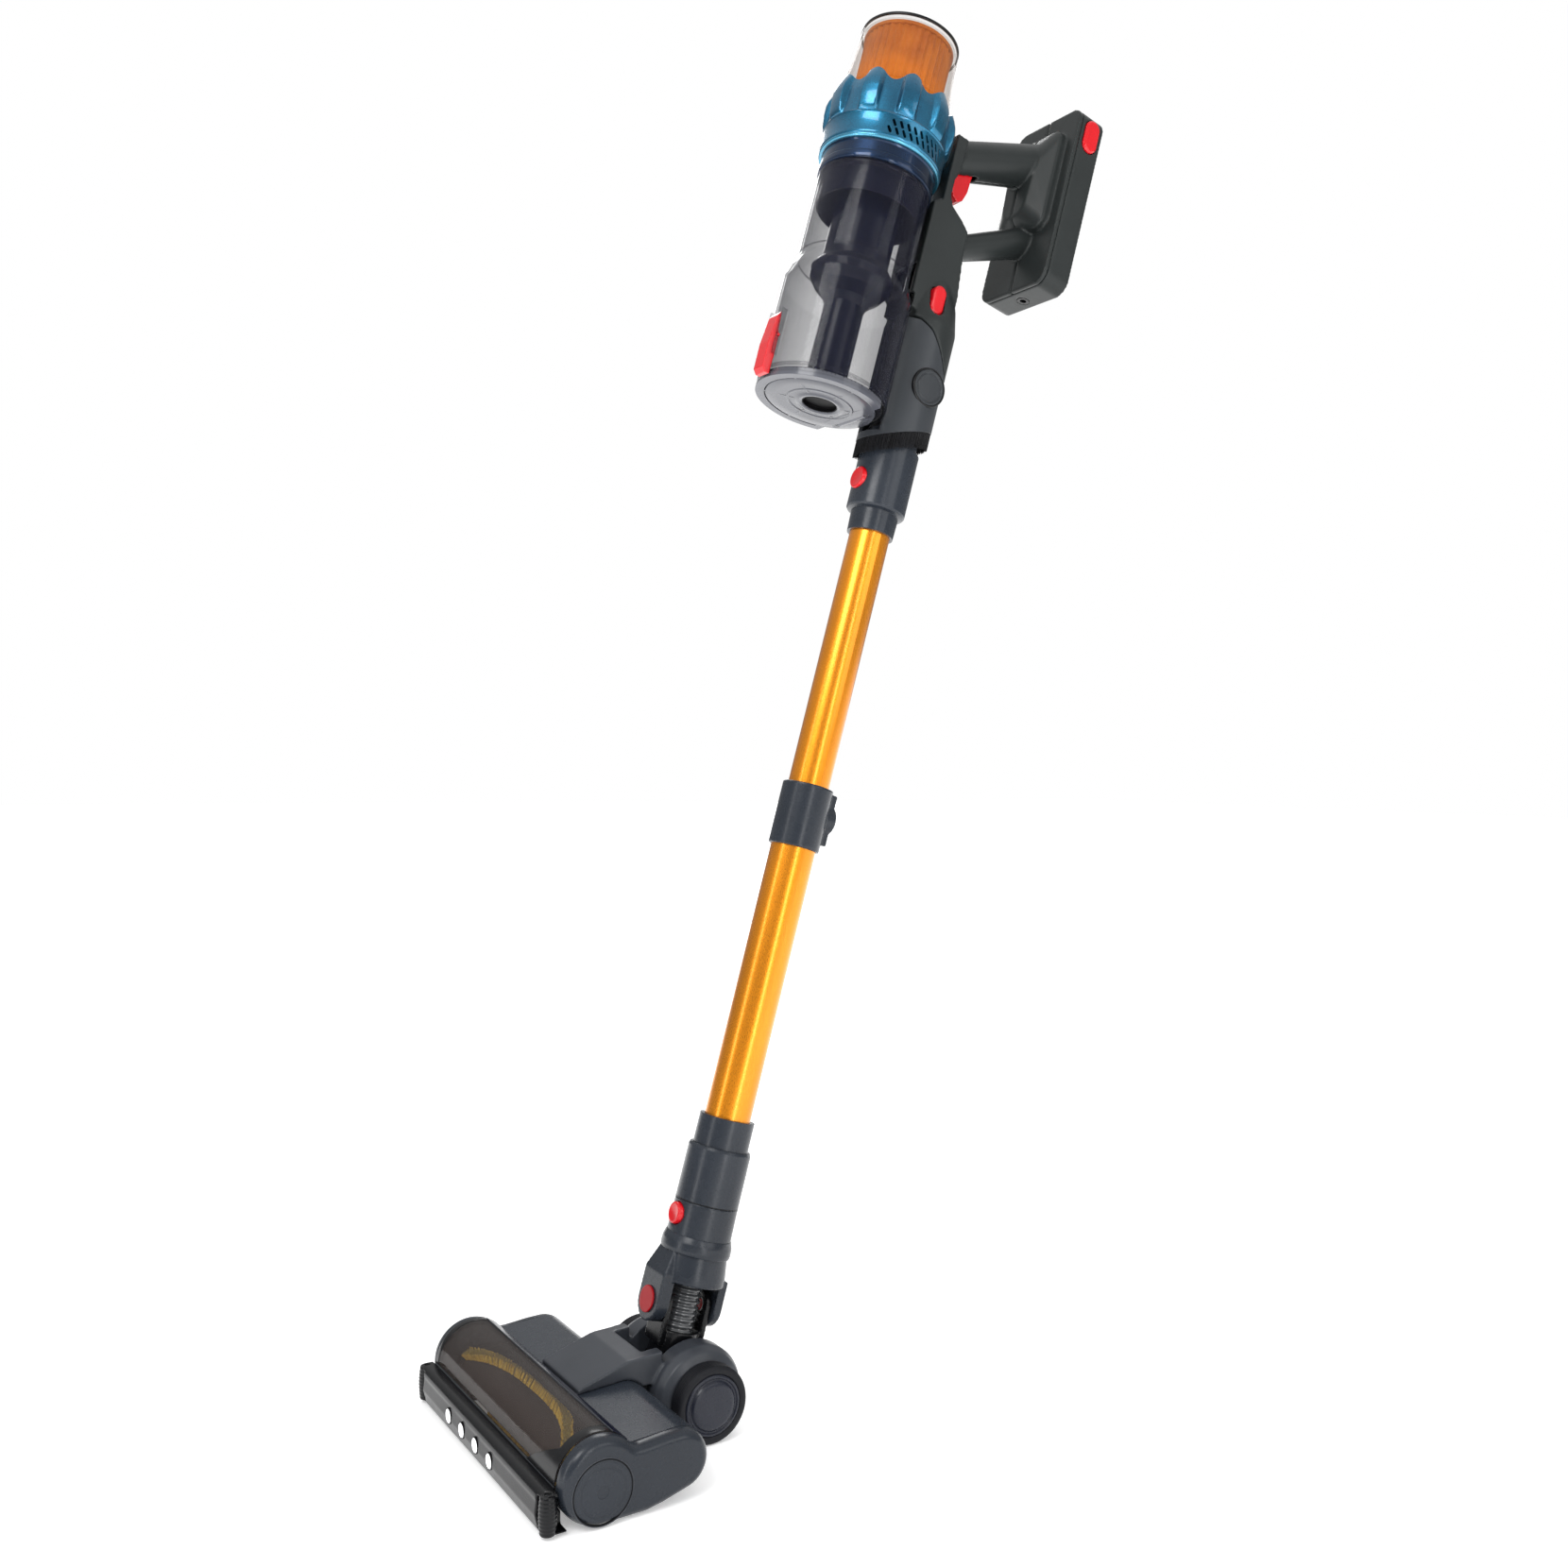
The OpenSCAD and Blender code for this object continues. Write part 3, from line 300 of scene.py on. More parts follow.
HOSE = plastic("hose", (0.040, 0.042, 0.045), 0.16, grain=0.02, edge=0, coat=0.8, gloss=0.5)
BOARD = plastic("board", (0.02, 0.12, 0.05), 0.4, grain=0.3, grain_scale=500)
CELL = plastic("cell", (0.04, 0.2, 0.42), 0.35, grain=0.05)
ROLL = plastic("roll", (0.034, 0.026, 0.024), 0.8, grain=0.004, grain_scale=300, edge=0, gloss=0.03)
GOLD = anodised("gold", (0.76, 0.26, 0.008))
TEAL = painted_metallic("teal", (0.012, 0.135, 0.24), (0.005, 0.055, 0.115))
ICE = painted_metallic("ice", (0.06, 0.27, 0.40), (0.03, 0.16, 0.26))
RING_BLUE = painted_metallic("ring_blue", (0.005, 0.020, 0.055), (0.003, 0.008, 0.026))
SMOKE = clear("smoke", (0.012, 0.013, 0.024), 0.14, 0.55)
SMOKE_TOP = clear("window", (0.050, 0.040, 0.036), 0.12, 0.66, 0.08)
CLEAR = clear("clear", (0.20, 0.12, 0.07), 0.02, 0.34)
STEEL = brushed("steel", (0.62, 0.62, 0.63))
LAMP = lamp_glass("lamp")
BRISTLE = fibres("bristle", (0.24, 0.17, 0.012), (0.50, 0.36, 0.04))
BRISTLE_TIP = fibres("bristle_tip", (0.62, 0.36, 0.01), (0.95, 0.62, 0.06))
BLACK_BRISTLE = fibres("black_bristle", (0.0015, 0.0015, 0.002), (0.014, 0.014, 0.016), sheen=0.0)


def filter_paper():
    """Copper-orange pleated filter paper with a painted glow: brighter orange towards its foot, and a faint glow
    of its own.
    """
    s = Shader("filter_paper")
    height = s.add("ShaderNodeSeparateXYZ")
    s.link(s.stretched((1, 1, 1), (LEAN, 0, 0)), height.inputs["Vector"])
    foot = (Matrix.Rotation(LEAN, 3, "X") @ on_wand(0, BIN_FORWARD, 953)).z
    # Painted glow: the paper turns a brighter orange towards its foot.
    foot_glow = s.remap(height.outputs["Z"], 1, 0, foot, foot + 26 * MM)
    base = s.tones(s.noise(60, 5), (0.30, 0.065, 0.005), (0.44, 0.115, 0.009))
    colour = s.mix(foot_glow, base, (0.62, 0.16, 0.006))
    s.link(colour, s.bsdf.inputs["Base Color"])
    s.link(colour, s.bsdf.inputs["Emission Color"])
    s.link(s.remap(s.noise(300), 0.45, 0.65), s.bsdf.inputs["Roughness"])
    s.bump(s.noise(2500, 4), 0.3, 0.1 * MM)
    # The faint emission is a painted glow; the paper is no lamp.
    s.set(Emission_Strength=0.03, Sheen_Weight=0.02, Specular_IOR_Level=0.15)
    return s.mat


PAPER = filter_paper()

# ---------- mesh builders ----------


def body_of(node):
    """The body that carries a CAD node."""
    bodies = frame["record"]["behaviour"]["bodies"]
    return next(body for body, members in bodies.items() if node in members)


def piece(name, mesh, material, node, body=None, replaced=(), sharp=35):
    """Puts a finished mesh in the scene on the body that carries a CAD node."""
    mesh.materials.clear()
    mesh.materials.append(material)
    mesh.shade_smooth()
    mesh.set_sharp_from_angle(angle=math.radians(sharp))
    obj = bpy.data.objects.new(name, mesh)
    bpy.context.scene.collection.objects.link(obj)
    if body is not False:
        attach(obj, body or body_of(node))
    if replaced:
        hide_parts(*replaced)
    return obj


def mesh_from(bm, name, place=None):
    """Turns a bmesh into a mesh with its faces outward, moved to its place."""
    if place is not None:
        bm.transform(place)
    bmesh.ops.recalc_face_normals(bm, faces=bm.faces)
    mesh = bpy.data.meshes.new(name)
    bm.to_mesh(mesh)
    bm.free()
    return mesh


def bridge(bm, low, high):
    """A band of faces between two rings of as many points."""
    for i in range(len(low)):
        k = (i + 1) % len(low)
        bm.faces.new((low[i], low[k], high[k], high[i]))


def lathe(name, profile, place, turns=96, radius=None):
    """Closed (r, s) outline in millimetres turned about a local Z. radius(r, s, angle) may shape it."""
    bm = bmesh.new()
    rings = []
    for i in range(turns):
        a = 2 * math.pi * i / turns
        ring = []
        for r, s in profile:
            rr, ss = radius(r, s, a) if radius else (r, s)
            ring.append(bm.verts.new((rr * MM * math.cos(a), rr * MM * math.sin(a), ss * MM)))
        rings.append(ring)
    count = len(profile)
    for i in range(turns):
        a, b = rings[i], rings[(i + 1) % turns]
        for k in range(count):
            bm.faces.new((a[k], b[k], b[(k + 1) % count], a[(k + 1) % count]))
    bmesh.ops.remove_doubles(bm, verts=bm.verts, dist=1e-7)
    return mesh_from(bm, name, place)


def rounded(points, radius, steps=4):
    """A closed outline with every corner turned into a small arc."""
    out = []
    for i, p in enumerate(points):
        p = Vector(p)
        a, b = Vector(points[i - 1]) - p, Vector(points[(i + 1) % len(points)]) - p
        cut = min(radius, a.length * 0.45, b.length * 0.45)
        start, end = p + a.normalized() * cut, p + b.normalized() * cut
        for k in range(steps + 1):
            t = k / steps
            q = start * (1 - t) ** 2 + p * 2 * t * (1 - t) + end * t * t
            out.append((q.x, q.y))
    return out


def softened(node, voxel, rounds, material):
    """The CAD node's solid with its edges and joints melted together, as a mould leaves them."""
    obj = bpy.data.objects.new("tmp", NODES[node].data.copy())
    bpy.context.scene.collection.objects.link(obj)
    weld = obj.modifiers.new("weld", "WELD")
    weld.merge_threshold = 2e-6
    remesh = obj.modifiers.new("remesh", "REMESH")
    remesh.mode, remesh.voxel_size, remesh.adaptivity = "VOXEL", voxel * MM, 0
    smooth = obj.modifiers.new("smooth", "SMOOTH")
    smooth.factor, smooth.iterations = 0.5, rounds
    graph = bpy.context.evaluated_depsgraph_get()
    result = bpy.data.meshes.new_from_object(obj.evaluated_get(graph))
    bpy.data.objects.remove(obj)
    if "custom_normal" in result.attributes:
        result.attributes.remove(result.attributes["custom_normal"])
    piece(node + "_shell", result, material, node, replaced=[node], sharp=60)


def offset_outline(points, d):
    """A closed counter-clockwise outline drawn in by d."""
    out = []
    for i, p in enumerate(points):
        p = Vector(p)
        before, after = p - Vector(points[i - 1]), Vector(points[(i + 1) % len(points)]) - p
        n1, n2 = Vector((-before.y, before.x)).normalized(), Vector((-after.y, after.x)).normalized()
        n = n1 + n2
        if n.length < 1e-6:
            n = n1
        n = n / max(0.35, n.length_squared / 2)   # the limit keeps sharp corners from running off
        out.append((p.x + n.x * d, p.y + n.y * d))
    return out


def swept_plate(name, outline, levels, place):
    """A plate made of copies of an outline; levels are its (inset, height) pairs, face to face."""
    bm = bmesh.new()
    rings = [[bm.verts.new((x * MM, y * MM, h * MM)) for x, y in offset_outline(outline, d)]
             for d, h in levels]
    for low, high in zip(rings, rings[1:]):
        bridge(bm, low, high)
    bm.faces.new(rings[0][::-1])
    bm.faces.new(rings[-1])
    return mesh_from(bm, name, place)


def tuft(bm, root, tip, width, sides=4, taper=0.45):
    """One bristle: a thin tapering blade from root to tip."""
    axis = (tip - root).normalized()
    u = axis.orthogonal().normalized()
    v = axis.cross(u)
    a0 = random.uniform(0, 2 * math.pi)
    angles = [a0 + 2 * math.pi * i / sides for i in range(sides)]
    base = [bm.verts.new(root + (u * math.cos(a) + v * math.sin(a)) * width) for a in angles]
    end = [bm.verts.new(tip + (p.co - root) * taper) for p in base]
    bridge(bm, base, end)
    bm.faces.new(end)
    bm.faces.new(base[::-1])


# ---------- floor head ----------

LOBE, LOBE_R = (-28, 28), 28   # front lobe of the side view, millimetres
REAR_LOBE, REAR_R = (29, 27), 20
SIDE_X = 110                   # where the end caps start
CAP_T = 9.8                    # how far they stand out
EDGE_X = 109                   # where the strips round the window end


def head_place(x):
    """Places a plate drawn in the head's side view (y, z) at a distance across."""
    turned = Matrix(((0, 0, 1, 0), (1, 0, 0, 0), (0, 1, 0, 0), (0, 0, 0, 1)))
    return Matrix.Translation((x * MM, HEAD_Y, 0)) @ turned


def around(centre, r, angle):
    """A point of the head's side view at a radius and an angle in degrees about a lobe's centre."""
    a = math.radians(angle)
    return centre[0] + r * math.cos(a), centre[1] + r * math.sin(a)


def head_side():
    """The head's side outline: front lobe, sole, rear lobe and the notch between them."""
    lobe = [around(LOBE, LOBE_R, a) for a in range(42, 271, 6)]
    rear = [around(REAR_LOBE, REAR_R, a) for a in range(-78, 91, 8)]
    sole = [(-10, 0.05), (4, 0.2), (16, 2.6)]
    notch = [(18, 46.6), (8, 45.6), (1, 44.9), (-4, 44.8)]
    return lobe + sole + rear + notch


def end_cap(side, name):
    """Moulded side of the head: a straight rim, then a wide rounded bevel."""
    node = f"end_cap_{name}"
    rim, bevel, squash = 1.4, 8.2, 0.78
    levels = [(0.5, 0), (0, 0.5), (0, rim)]
    for k in range(1, 10):
        a = math.radians(10 * k)
        levels.append((bevel * squash * (1 - math.cos(a)), rim + bevel * math.sin(a)))
    levels = [(d, h * (CAP_T / (rim + bevel))) for d, h in levels]
    place = head_place(SIDE_X * side)
    if side < 0:
        place = place @ Matrix.Scale(-1, 4, (0, 0, 1))
    mesh = swept_plate(node, head_side(), levels, place)
    piece(node + "_moulding", mesh, SLATE, node, replaced=[node], sharp=50)


def release_disc():
    """Round lock cap in the right end: a shallow dish with a ring groove, a flat black ring round it that paints
    the shade of a groove, and a raised bead round that whose lighter colour paints a highlight.
    """
    dish = [(0, 7), (4, 7), (4, 9.95), (14.6, 9.95), (15, 9.5), (15.6, 9.45), (16, 9.9), (18.6, 9.9),
            (19.1, 9.3), (19.8, 8.6), (19.8, 6), (14, 6), (14, -5), (12.1, -5), (12.1, 5), (0, 5)]
    groove = [(19.9, 9.0), (20.7, 9.0), (20.7, 9.86), (19.9, 9.86)]
    bead = rounded([(20.7, 9.0), (21.5, 9.0), (21.5, 9.8), (21.1, 10.15), (20.7, 9.95)], 0.2)
    place = Matrix.Translation((SIDE_X * MM, BRUSH.y, BRUSH.z)) @ sideways(1)
    piece("lock_disc", lathe("lock_disc", dish, place), SLATE, "brush_release_cap",
          replaced=["brush_release_cap"], sharp=40)
    # Painted shade: a flat black ring standing in for the dark outline of a groove.
    piece("lock_groove_shade", lathe("groove", groove, place), SHADE_BLACK, "end_cap_right")
    # A real raised bead, and its lighter plastic is a painted highlight.
    piece("lock_bead", lathe("bead", bead, place), SLATE_LIGHT, "end_cap_right")


def brush_roll():
    """Two arched strips of bristle tufts on the roll, with a warmer row along each edge."""
    low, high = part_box("brush_bristles")
    ends, sweep, count = math.radians(170), math.radians(122), 150
    arch_start, arch_share = 0.12, 0.8
    foot = 15.4 * MM
    for name, material, rows in (("bristle_rows", BRISTLE, (-0.12, -0.06, 0.0, 0.06, 0.12)),
                                 ("bristle_edges", BRISTLE_TIP, (-0.18, 0.18))):
        bm = bmesh.new()
        for strip in range(2):
            for lane in rows:
                for i in range(count):
                    t = min(max((i + random.uniform(-0.3, 0.3)) / count, 0.005), 0.995)
                    x = low.x + (high.x - low.x) * t
                    arch = math.sin(math.pi * (arch_start + arch_share * t))
                    a = ends + strip * math.pi - sweep * arch + lane + random.uniform(-0.02, 0.02)
                    out = Vector((random.uniform(-0.06, 0.06), math.cos(a), math.sin(a))).normalized()
                    root = Vector((x, BRUSH.y, BRUSH.z)) + out * foot
                    tuft(bm, root, root + out * random.uniform(5.6, 6.3) * MM, 0.75 * MM)
        piece(name, mesh_from(bm, name), material, "brush_bristles",
              replaced=["brush_bristles"] if name == "bristle_rows" else [], sharp=30)


def lobe_strip(name, start, end, r_in, r_out, x0, x1, material):
    """A band lying on the front lobe between two angles and two distances across."""
    angles = [start + (end - start) * i / 14 for i in range(15)]
    outer = [around(LOBE, r_out, a) for a in angles]
    inner = [around(LOBE, r_in, a) for a in reversed(angles)]
    levels = [(0.1, 0), (0, 0.3), (0, x1 - x0 - 0.3), (0.1, x1 - x0)]
    mesh = swept_plate(name, outer + inner, levels, head_place(x0))
    piece(name, mesh, material, "head_cover")


def window_corner():
    """Black plate at the window's lower right corner, widening towards the end cap."""
    bm = bmesh.new()
    columns, rows = 16, 8
    start_x, foot, low_top, rise = 64, 191, 180, 52   # millimetres, then degrees round the lobe
    outer, inner = [], []
    for i in range(columns + 1):
        share = i / columns
        x = start_x + (EDGE_X - start_x) * share
        top = low_top - rise * share ** 0.9
        for r, side in ((28.55, outer), (27.9, inner)):
            points = [around(LOBE, r, foot + (top - foot) * k / rows) for k in range(rows + 1)]
            side.append([bm.verts.new((x * MM, HEAD_Y + y * MM, z * MM)) for y, z in points])
    for side in (outer, inner):
        for a, b in zip(side, side[1:]):
            for k in range(rows):
                bm.faces.new((a[k], b[k], b[k + 1], a[k + 1]))
    for k in range(rows):
        for end in (0, -1):
            bm.faces.new((outer[end][k], outer[end][k + 1], inner[end][k + 1], inner[end][k]))
    for i in range(columns):
        for k in (0, rows):
            bm.faces.new((outer[i][k], outer[i + 1][k], inner[i + 1][k], inner[i][k]))
    piece("window_corner", mesh_from(bm, "corner"), BLACK, "head_cover")


def window_trim():
    """Dark glossy strip between the window and the deck, and lips round the window's other edges."""
    lobe_strip("window_frame_back", 40, 66, 27.6, 28.6, -EDGE_X, EDGE_X, GLOSS_NAVY)
    lobe_strip("window_edge_line", 66, 67.4, 27.8, 28.8, -EDGE_X, EDGE_X, SLATE_LIGHT)
    lobe_strip("window_lip_line", 178.6, 180, 27.8, 28.7, -EDGE_X, EDGE_X, SLATE_LIGHT)
    lobe_strip("window_frame_front", 180, 192, 27.6, 28.9, -EDGE_X, EDGE_X, BLACK)
    lobe_strip("window_frame_right", 60, 180, 27.7, 28.35, 100, EDGE_X, BLACK)
    lobe_strip("window_frame_left", 60, 180, 27.7, 28.35, -EDGE_X, -104, BLACK)
    window_corner()


def lamps():
    """Domed lamp lenses with a thin dark rim."""
    low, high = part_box("lamp_lenses")
    radius = (high.z - low.z) / 2 / MM
    z = (low.z + high.z) / 2
    count = 4
    pitch = (high.x - low.x - 2 * radius * MM) / (count - 1)
    dome = [(0, -3), (radius - 0.1, -3), (radius - 0.1, -0.2), (radius * 0.92, 0.25),
            (radius * 0.7, 0.55), (radius * 0.35, 0.75), (0, 0.8)]
    rim = rounded([(radius, -1), (radius + 0.7, -1), (radius + 0.7, 0.25), (radius, 0.25)], 0.2)
    for i in range(count):
        place = Matrix.Translation((low.x + radius * MM + i * pitch, low.y, z)) @ AHEAD
        piece(f"lamp_lens_{i}", lathe("lens", dome, place, 40), LAMP, "lamp_lenses",
              replaced=["lamp_lenses"] if i == 0 else [])
        piece(f"lamp_rim_{i}", lathe("rim", rim, place, 40), BLACK, "front_bumper")


def corner_rollers():
    """Ribbed barrel rollers at the ends of the bumper."""
    waist, groove_depth, grooves, steps = 0.16, 0.35, 10, 40
    for name in ("corner_roller_left", "corner_roller_right"):
        low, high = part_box(name)
        middle = (low + high) / 2
        radius, half = (high.x - low.x) / 2 / MM, (high.z - low.z) / 2 / MM
        profile = [(0, half), (0, -half)]
        for k in range(steps + 1):
            t = -1 + 2 * k / steps
            groove = groove_depth * (0.5 + 0.5 * math.cos(grooves * math.pi * t))
            profile.append((radius * (1 - waist * t * t) - groove, half * t))
        mesh = lathe("barrel", profile, Matrix.Translation(middle), 64)
        piece(name + "_barrel", mesh, BLACK, name, replaced=[name])


def wheels():
    """Turned wheel faces with a ring groove, and tyres with rounded shoulders and tread lines."""
    face = [(4.1, 46.2), (21.6, 46.2), (21.6, 58.2), (20.9, 59.0), (19.6, 59.4), (18.9, 58.2),
            (17.9, 58.0), (17.2, 58.6), (16.2, 60.0), (14, 60.6), (7, 60.95), (0, 61.0), (0, 59.2),
            (4.1, 59.2)]
    tread = [(21.8, 46.1), (26.2, 46.1), (27.2, 46.8)]
    for k in range(5):
        s = 48 + k * 1.9
        tread += [(27.5, s), (27.5, s + 1.3), (27.15, s + 1.45), (27.15, s + 1.75)]
    tread += [(27.2, 57.6), (26.2, 58.6), (24.6, 59.0), (22.9, 58.9), (21.8, 58.2)]
    for side, name in SIDES:
        place = Matrix.Translation((0, WHEEL.y, WHEEL.z)) @ sideways(side)
        piece(f"hub_{name}", lathe("hub", rounded(face, 0.5, 3), place), HUB, f"wheel_{name}",
              replaced=[f"wheel_{name}"])
        piece(f"tread_{name}", lathe("tread", tread, place, 112), TYRE, f"tyre_{name}",
              replaced=[f"tyre_{name}"], sharp=50)


# ---------- neck ----------

def corrugated_hose():
    """Ribbed hose between the elbow and the yoke."""
    bm = bmesh.new()
    turns, ribs, steps_a_rib, start, end = 56, 11, 8, 2, 50
    base, rib_height, wall = 11.2, 1.5, 1.2
    steps = ribs * steps_a_rib
    angles = [2 * math.pi * k / turns for k in range(turns)]
    faces = []
    for inward in (0.0, wall):
        rings = []
        for i in range(steps + 1):
            t = i / steps
            wave = 0.5 + 0.5 * math.cos(2 * math.pi * ribs * t)
            r = (base + rib_height * wave ** 0.7 - inward) * MM
            s = (start + (end - start) * t) * MM
            rings.append([bm.verts.new((r * math.cos(a), r * math.sin(a), s)) for a in angles])
        for low, high in zip(rings, rings[1:]):
            bridge(bm, low, high)
        faces.append(rings)
    outer, inner = faces
    bridge(bm, outer[0], inner[0])
    bridge(bm, outer[-1], inner[-1])
    mesh = mesh_from(bm, "hose", WAND)
    hose = piece("neck_hose_ribs", mesh, HOSE, "neck_hose", body=False, sharp=80)
    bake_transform(hose)
    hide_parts("neck_hose")


def yoke_flare():
    """Rounded collar round the yoke's socket, above the opening for the hose."""
    outline = rounded([(23.6, 58), (25.9, 58), (26.4, 61), (26.2, 66), (24.6, 71), (23.6, 71)], 0.9)
    piece("yoke_flare", lathe("flare", outline, WAND), SLATE, "neck_yoke")


def front_button(name, node, along, top, radius):
    """Round push button on the wand's front with a domed face and a finger rim."""
    profile = [(0, top - 5.5), (radius - 0.1, top - 5.5), (radius - 0.1, top - 1.0),
               (radius - 0.5, top - 0.35), (radius - 1.3, top), (radius - 2.2, top - 0.15),
               (radius * 0.5, top - 0.55), (0, top - 0.7)]
    place = wand_place(0, 0, along, AHEAD)
    piece(name, lathe(name, profile, place, 64), RED, node, replaced=[node])


# ---------- cyclone unit ----------

def along_curve(points, s):
    """Reads a (position, value) curve at s."""
    for (s0, v0), (s1, v1) in zip(points, points[1:]):
        if s <= s1:
            return v0 + (v1 - v0) * max(0.0, (s - s0) / (s1 - s0))
    return points[-1][1]


PETALS = 10
HALF_PETAL = 180 / PETALS      # degrees
CROWN_TOP = 954.5
SCALLOP_S = 936                # above this the crown's height follows the scallops
BAND = [(897.5, 47.2), (898.6, 48.6), (900, 49.1), (901.2, 48.9), (915.6, 48.9), (916.8, 49.4),
        (918.2, 48.4), (930, 47.8), (940, 47.3), (948, 46.5), (CROWN_TOP, 45.6)]
RIB = [(917.4, 0), (918.4, 1.6), (921, 2.9), (930, 4.5), (938, 5.0), (944, 4.5), (950, 3.0),
       (CROWN_TOP, 1.5)]


def crown_surface(s, a):
    """Radius and height of the crown's outer face: steep-sided petals with scalloped tops."""
    wave = 0.5 + 0.5 * math.cos(PETALS * (a - math.radians(HALF_PETAL)))
    away = abs(math.degrees(a) % (2 * HALF_PETAL) - HALF_PETAL)
    flank = min(1.0, max(0.0, (10.4 - away) / 3.4))
    flank = flank * flank * (3 - 2 * flank)
    dome = 1.0 - 0.10 * (away / HALF_PETAL) ** 2
    r = along_curve(BAND, s) + along_curve(RIB, s) * flank * dome
    top = 946.6 + 7.9 * wave
    if s > SCALLOP_S:
        s = SCALLOP_S + (s - SCALLOP_S) * (top - SCALLOP_S) / (CROWN_TOP - SCALLOP_S)
    return r, s


def slot_cutter():
    """Slanted round-ended slots in two staggered rows on both flanks of the crown."""
    bm = bmesh.new()
    columns, first, spread, slant = 9, -29, 56, 30   # the last three in degrees
    end_r, half_straight, depth, sides = 1.2, 1.9 * MM, 6 * MM, 12
    ring = []
    for k in range(sides):
        b = 2 * math.pi * k / sides
        stretch = half_straight if math.cos(b) > 1e-6 else -half_straight
        ring.append((math.cos(b) * end_r * MM + stretch, math.sin(b) * end_r * MM))
    tilt = Matrix.Rotation(math.radians(slant), 4, "X")
    for flank in (0, 180):
        for row in range(2):
            wall = Matrix.Translation((48 * MM, 0, (904.2 + row * 6.2) * MM))
            for i in range(columns):
                a = math.radians(flank + first + row * 3 + i * spread / (columns - 1))
                place = Matrix.Rotation(a, 4, "Z") @ wall @ tilt @ sideways(1)
                low = [bm.verts.new(place @ Vector((-x, y, -depth))) for x, y in ring]
                high = [bm.verts.new(place @ Vector((-x, y, depth))) for x, y in ring]
                bridge(bm, low, high)
                bm.faces.new(low[::-1])
                bm.faces.new(high)
    return mesh_from(bm, "slots", BIN)


def cut(mesh, cutter):
    """A mesh with another one taken away from it."""
    a, b = bpy.data.objects.new("whole", mesh), bpy.data.objects.new("cutter", cutter)
    for obj in (a, b):
        bpy.context.scene.collection.objects.link(obj)
    boolean = a.modifiers.new("cut", "BOOLEAN")
    boolean.object, boolean.operation, boolean.solver = b, "DIFFERENCE", "EXACT"
    graph = bpy.context.evaluated_depsgraph_get()
    result = bpy.data.meshes.new_from_object(a.evaluated_get(graph))
    bpy.data.objects.remove(a)
    bpy.data.objects.remove(b)
    return result


def crown():
    """Scalloped metallic collar over a smooth band with slanted slots, and the ring under it."""
    outside = [897.5, 898.2, 899, 900, 901.2, 908, 915.6, 916.2, 916.8, 917.6, 918.2, 919, 920,
               921.5, 924, 927, 930, 933, 936, 938, 940, 942, 944, 946, 948, 950, 951.5, 953, 954,
               CROWN_TOP]
    inside = [(44.5, 954.4), (44.3, 950), (44.3, 901.5), (38, 901.5), (38, 898), (46.2, 898)]
    outer_mark = 100   # stands for the radius that crown_surface works out
    profile = [(outer_mark, s) for s in outside] + inside

    def shape(r, s, a):
        if r == outer_mark:
            return crown_surface(s, a)
        return (r, crown_surface(s, a)[1]) if s > SCALLOP_S else (r, s)

    mesh = cut(lathe("crown", profile, BIN, 360, shape), slot_cutter())
    piece("crown_petals", mesh, TEAL, "crown", replaced=["crown"], sharp=38)
    # Painted shade: a thin deep black sheet just inside the slots, so they read dark.
    slot_shade = [(44.0, 901.8), (44.28, 901.8), (44.28, 916), (44.0, 916)]
    piece("crown_slot_shade", lathe("slot_shade", slot_shade, BIN, 120), SHADE_BLACK, "crown")
    edge = rounded([(45.5, 896.2), (47.9, 896.2), (48.7, 897.4), (48.7, 898.6), (45.5, 898.6)], 0.5)
    piece("crown_edge", lathe("edge", edge, BIN, 120), ICE, "crown")
    ring = rounded([(44, 881.2), (45.6, 881.2), (45.9, 883), (45.9, 886.6), (45.2, 887.4),
                    (45.2, 894.4), (46.2, 896.2), (44, 896.2)], 0.45)
    piece("crown_ring", lathe("ring", ring, BIN, 144), RING_BLUE, "motor_housing")


def bin_details():
    """Moulded rings on the clear bin, and the seal, face and inlet cup of its lid; the cup is deep black, painted
    shade in the lid's centre hole.
    """
    for name, r, s, h in (("bin_ring_shoulder", 44.9, 811, 1.4), ("bin_ring_top", 44.9, 878.6, 2.4),
                          ("bin_ring_foot", 51.15, 708.5, 3.2)):
        inner, low, high = r - 0.9, s - h / 2, s + h / 2
        outline = rounded([(inner, low), (r, low), (r, high), (inner, high)], 0.35)
        piece(name, lathe(name, outline, BIN, 120), SMOKE, "bin")
    seal = rounded([(47.6, 704.6), (50.2, 704.6), (50.2, 705.9), (47.6, 705.9)], 0.3)
    piece("lid_seal", lathe("seal", seal, BIN), BLACK, "bin_lid")
    plate = [(14.3, 701.4), (14.3, 699.4), (15.2, 698.9), (17.6, 698.8), (18.6, 699.4), (21, 699.7),
             (24, 699.7), (24.6, 699.2), (26.2, 699.2), (26.8, 699.7), (34, 699.5), (42.4, 699.45),
             (43.0, 699.7), (43.6, 701.4)]
    piece("lid_plate", lathe("plate", plate, BIN, 120), LID, "bin_lid")
    # Painted shade: a deep black cup fills the lid's centre hole so it reads dark.
    cup = [(0, 703.45), (13.9, 703.45), (13.9, 699.8), (13.3, 699.8), (13.3, 702.6), (0, 702.6)]
    piece("lid_socket_shade", lathe("socket", cup, BIN, 64), SHADE_BLACK, "bin_lid")


def filter_top():
    """Dark rim at the top of the filter sleeve."""
    rim = rounded([(38.2, 1005.4), (39.9, 1005.4), (39.9, 1007.4), (38.2, 1007.4)], 0.4)
    piece("filter_rim", lathe("rim", rim, BIN), BLACK, "filter_sleeve")


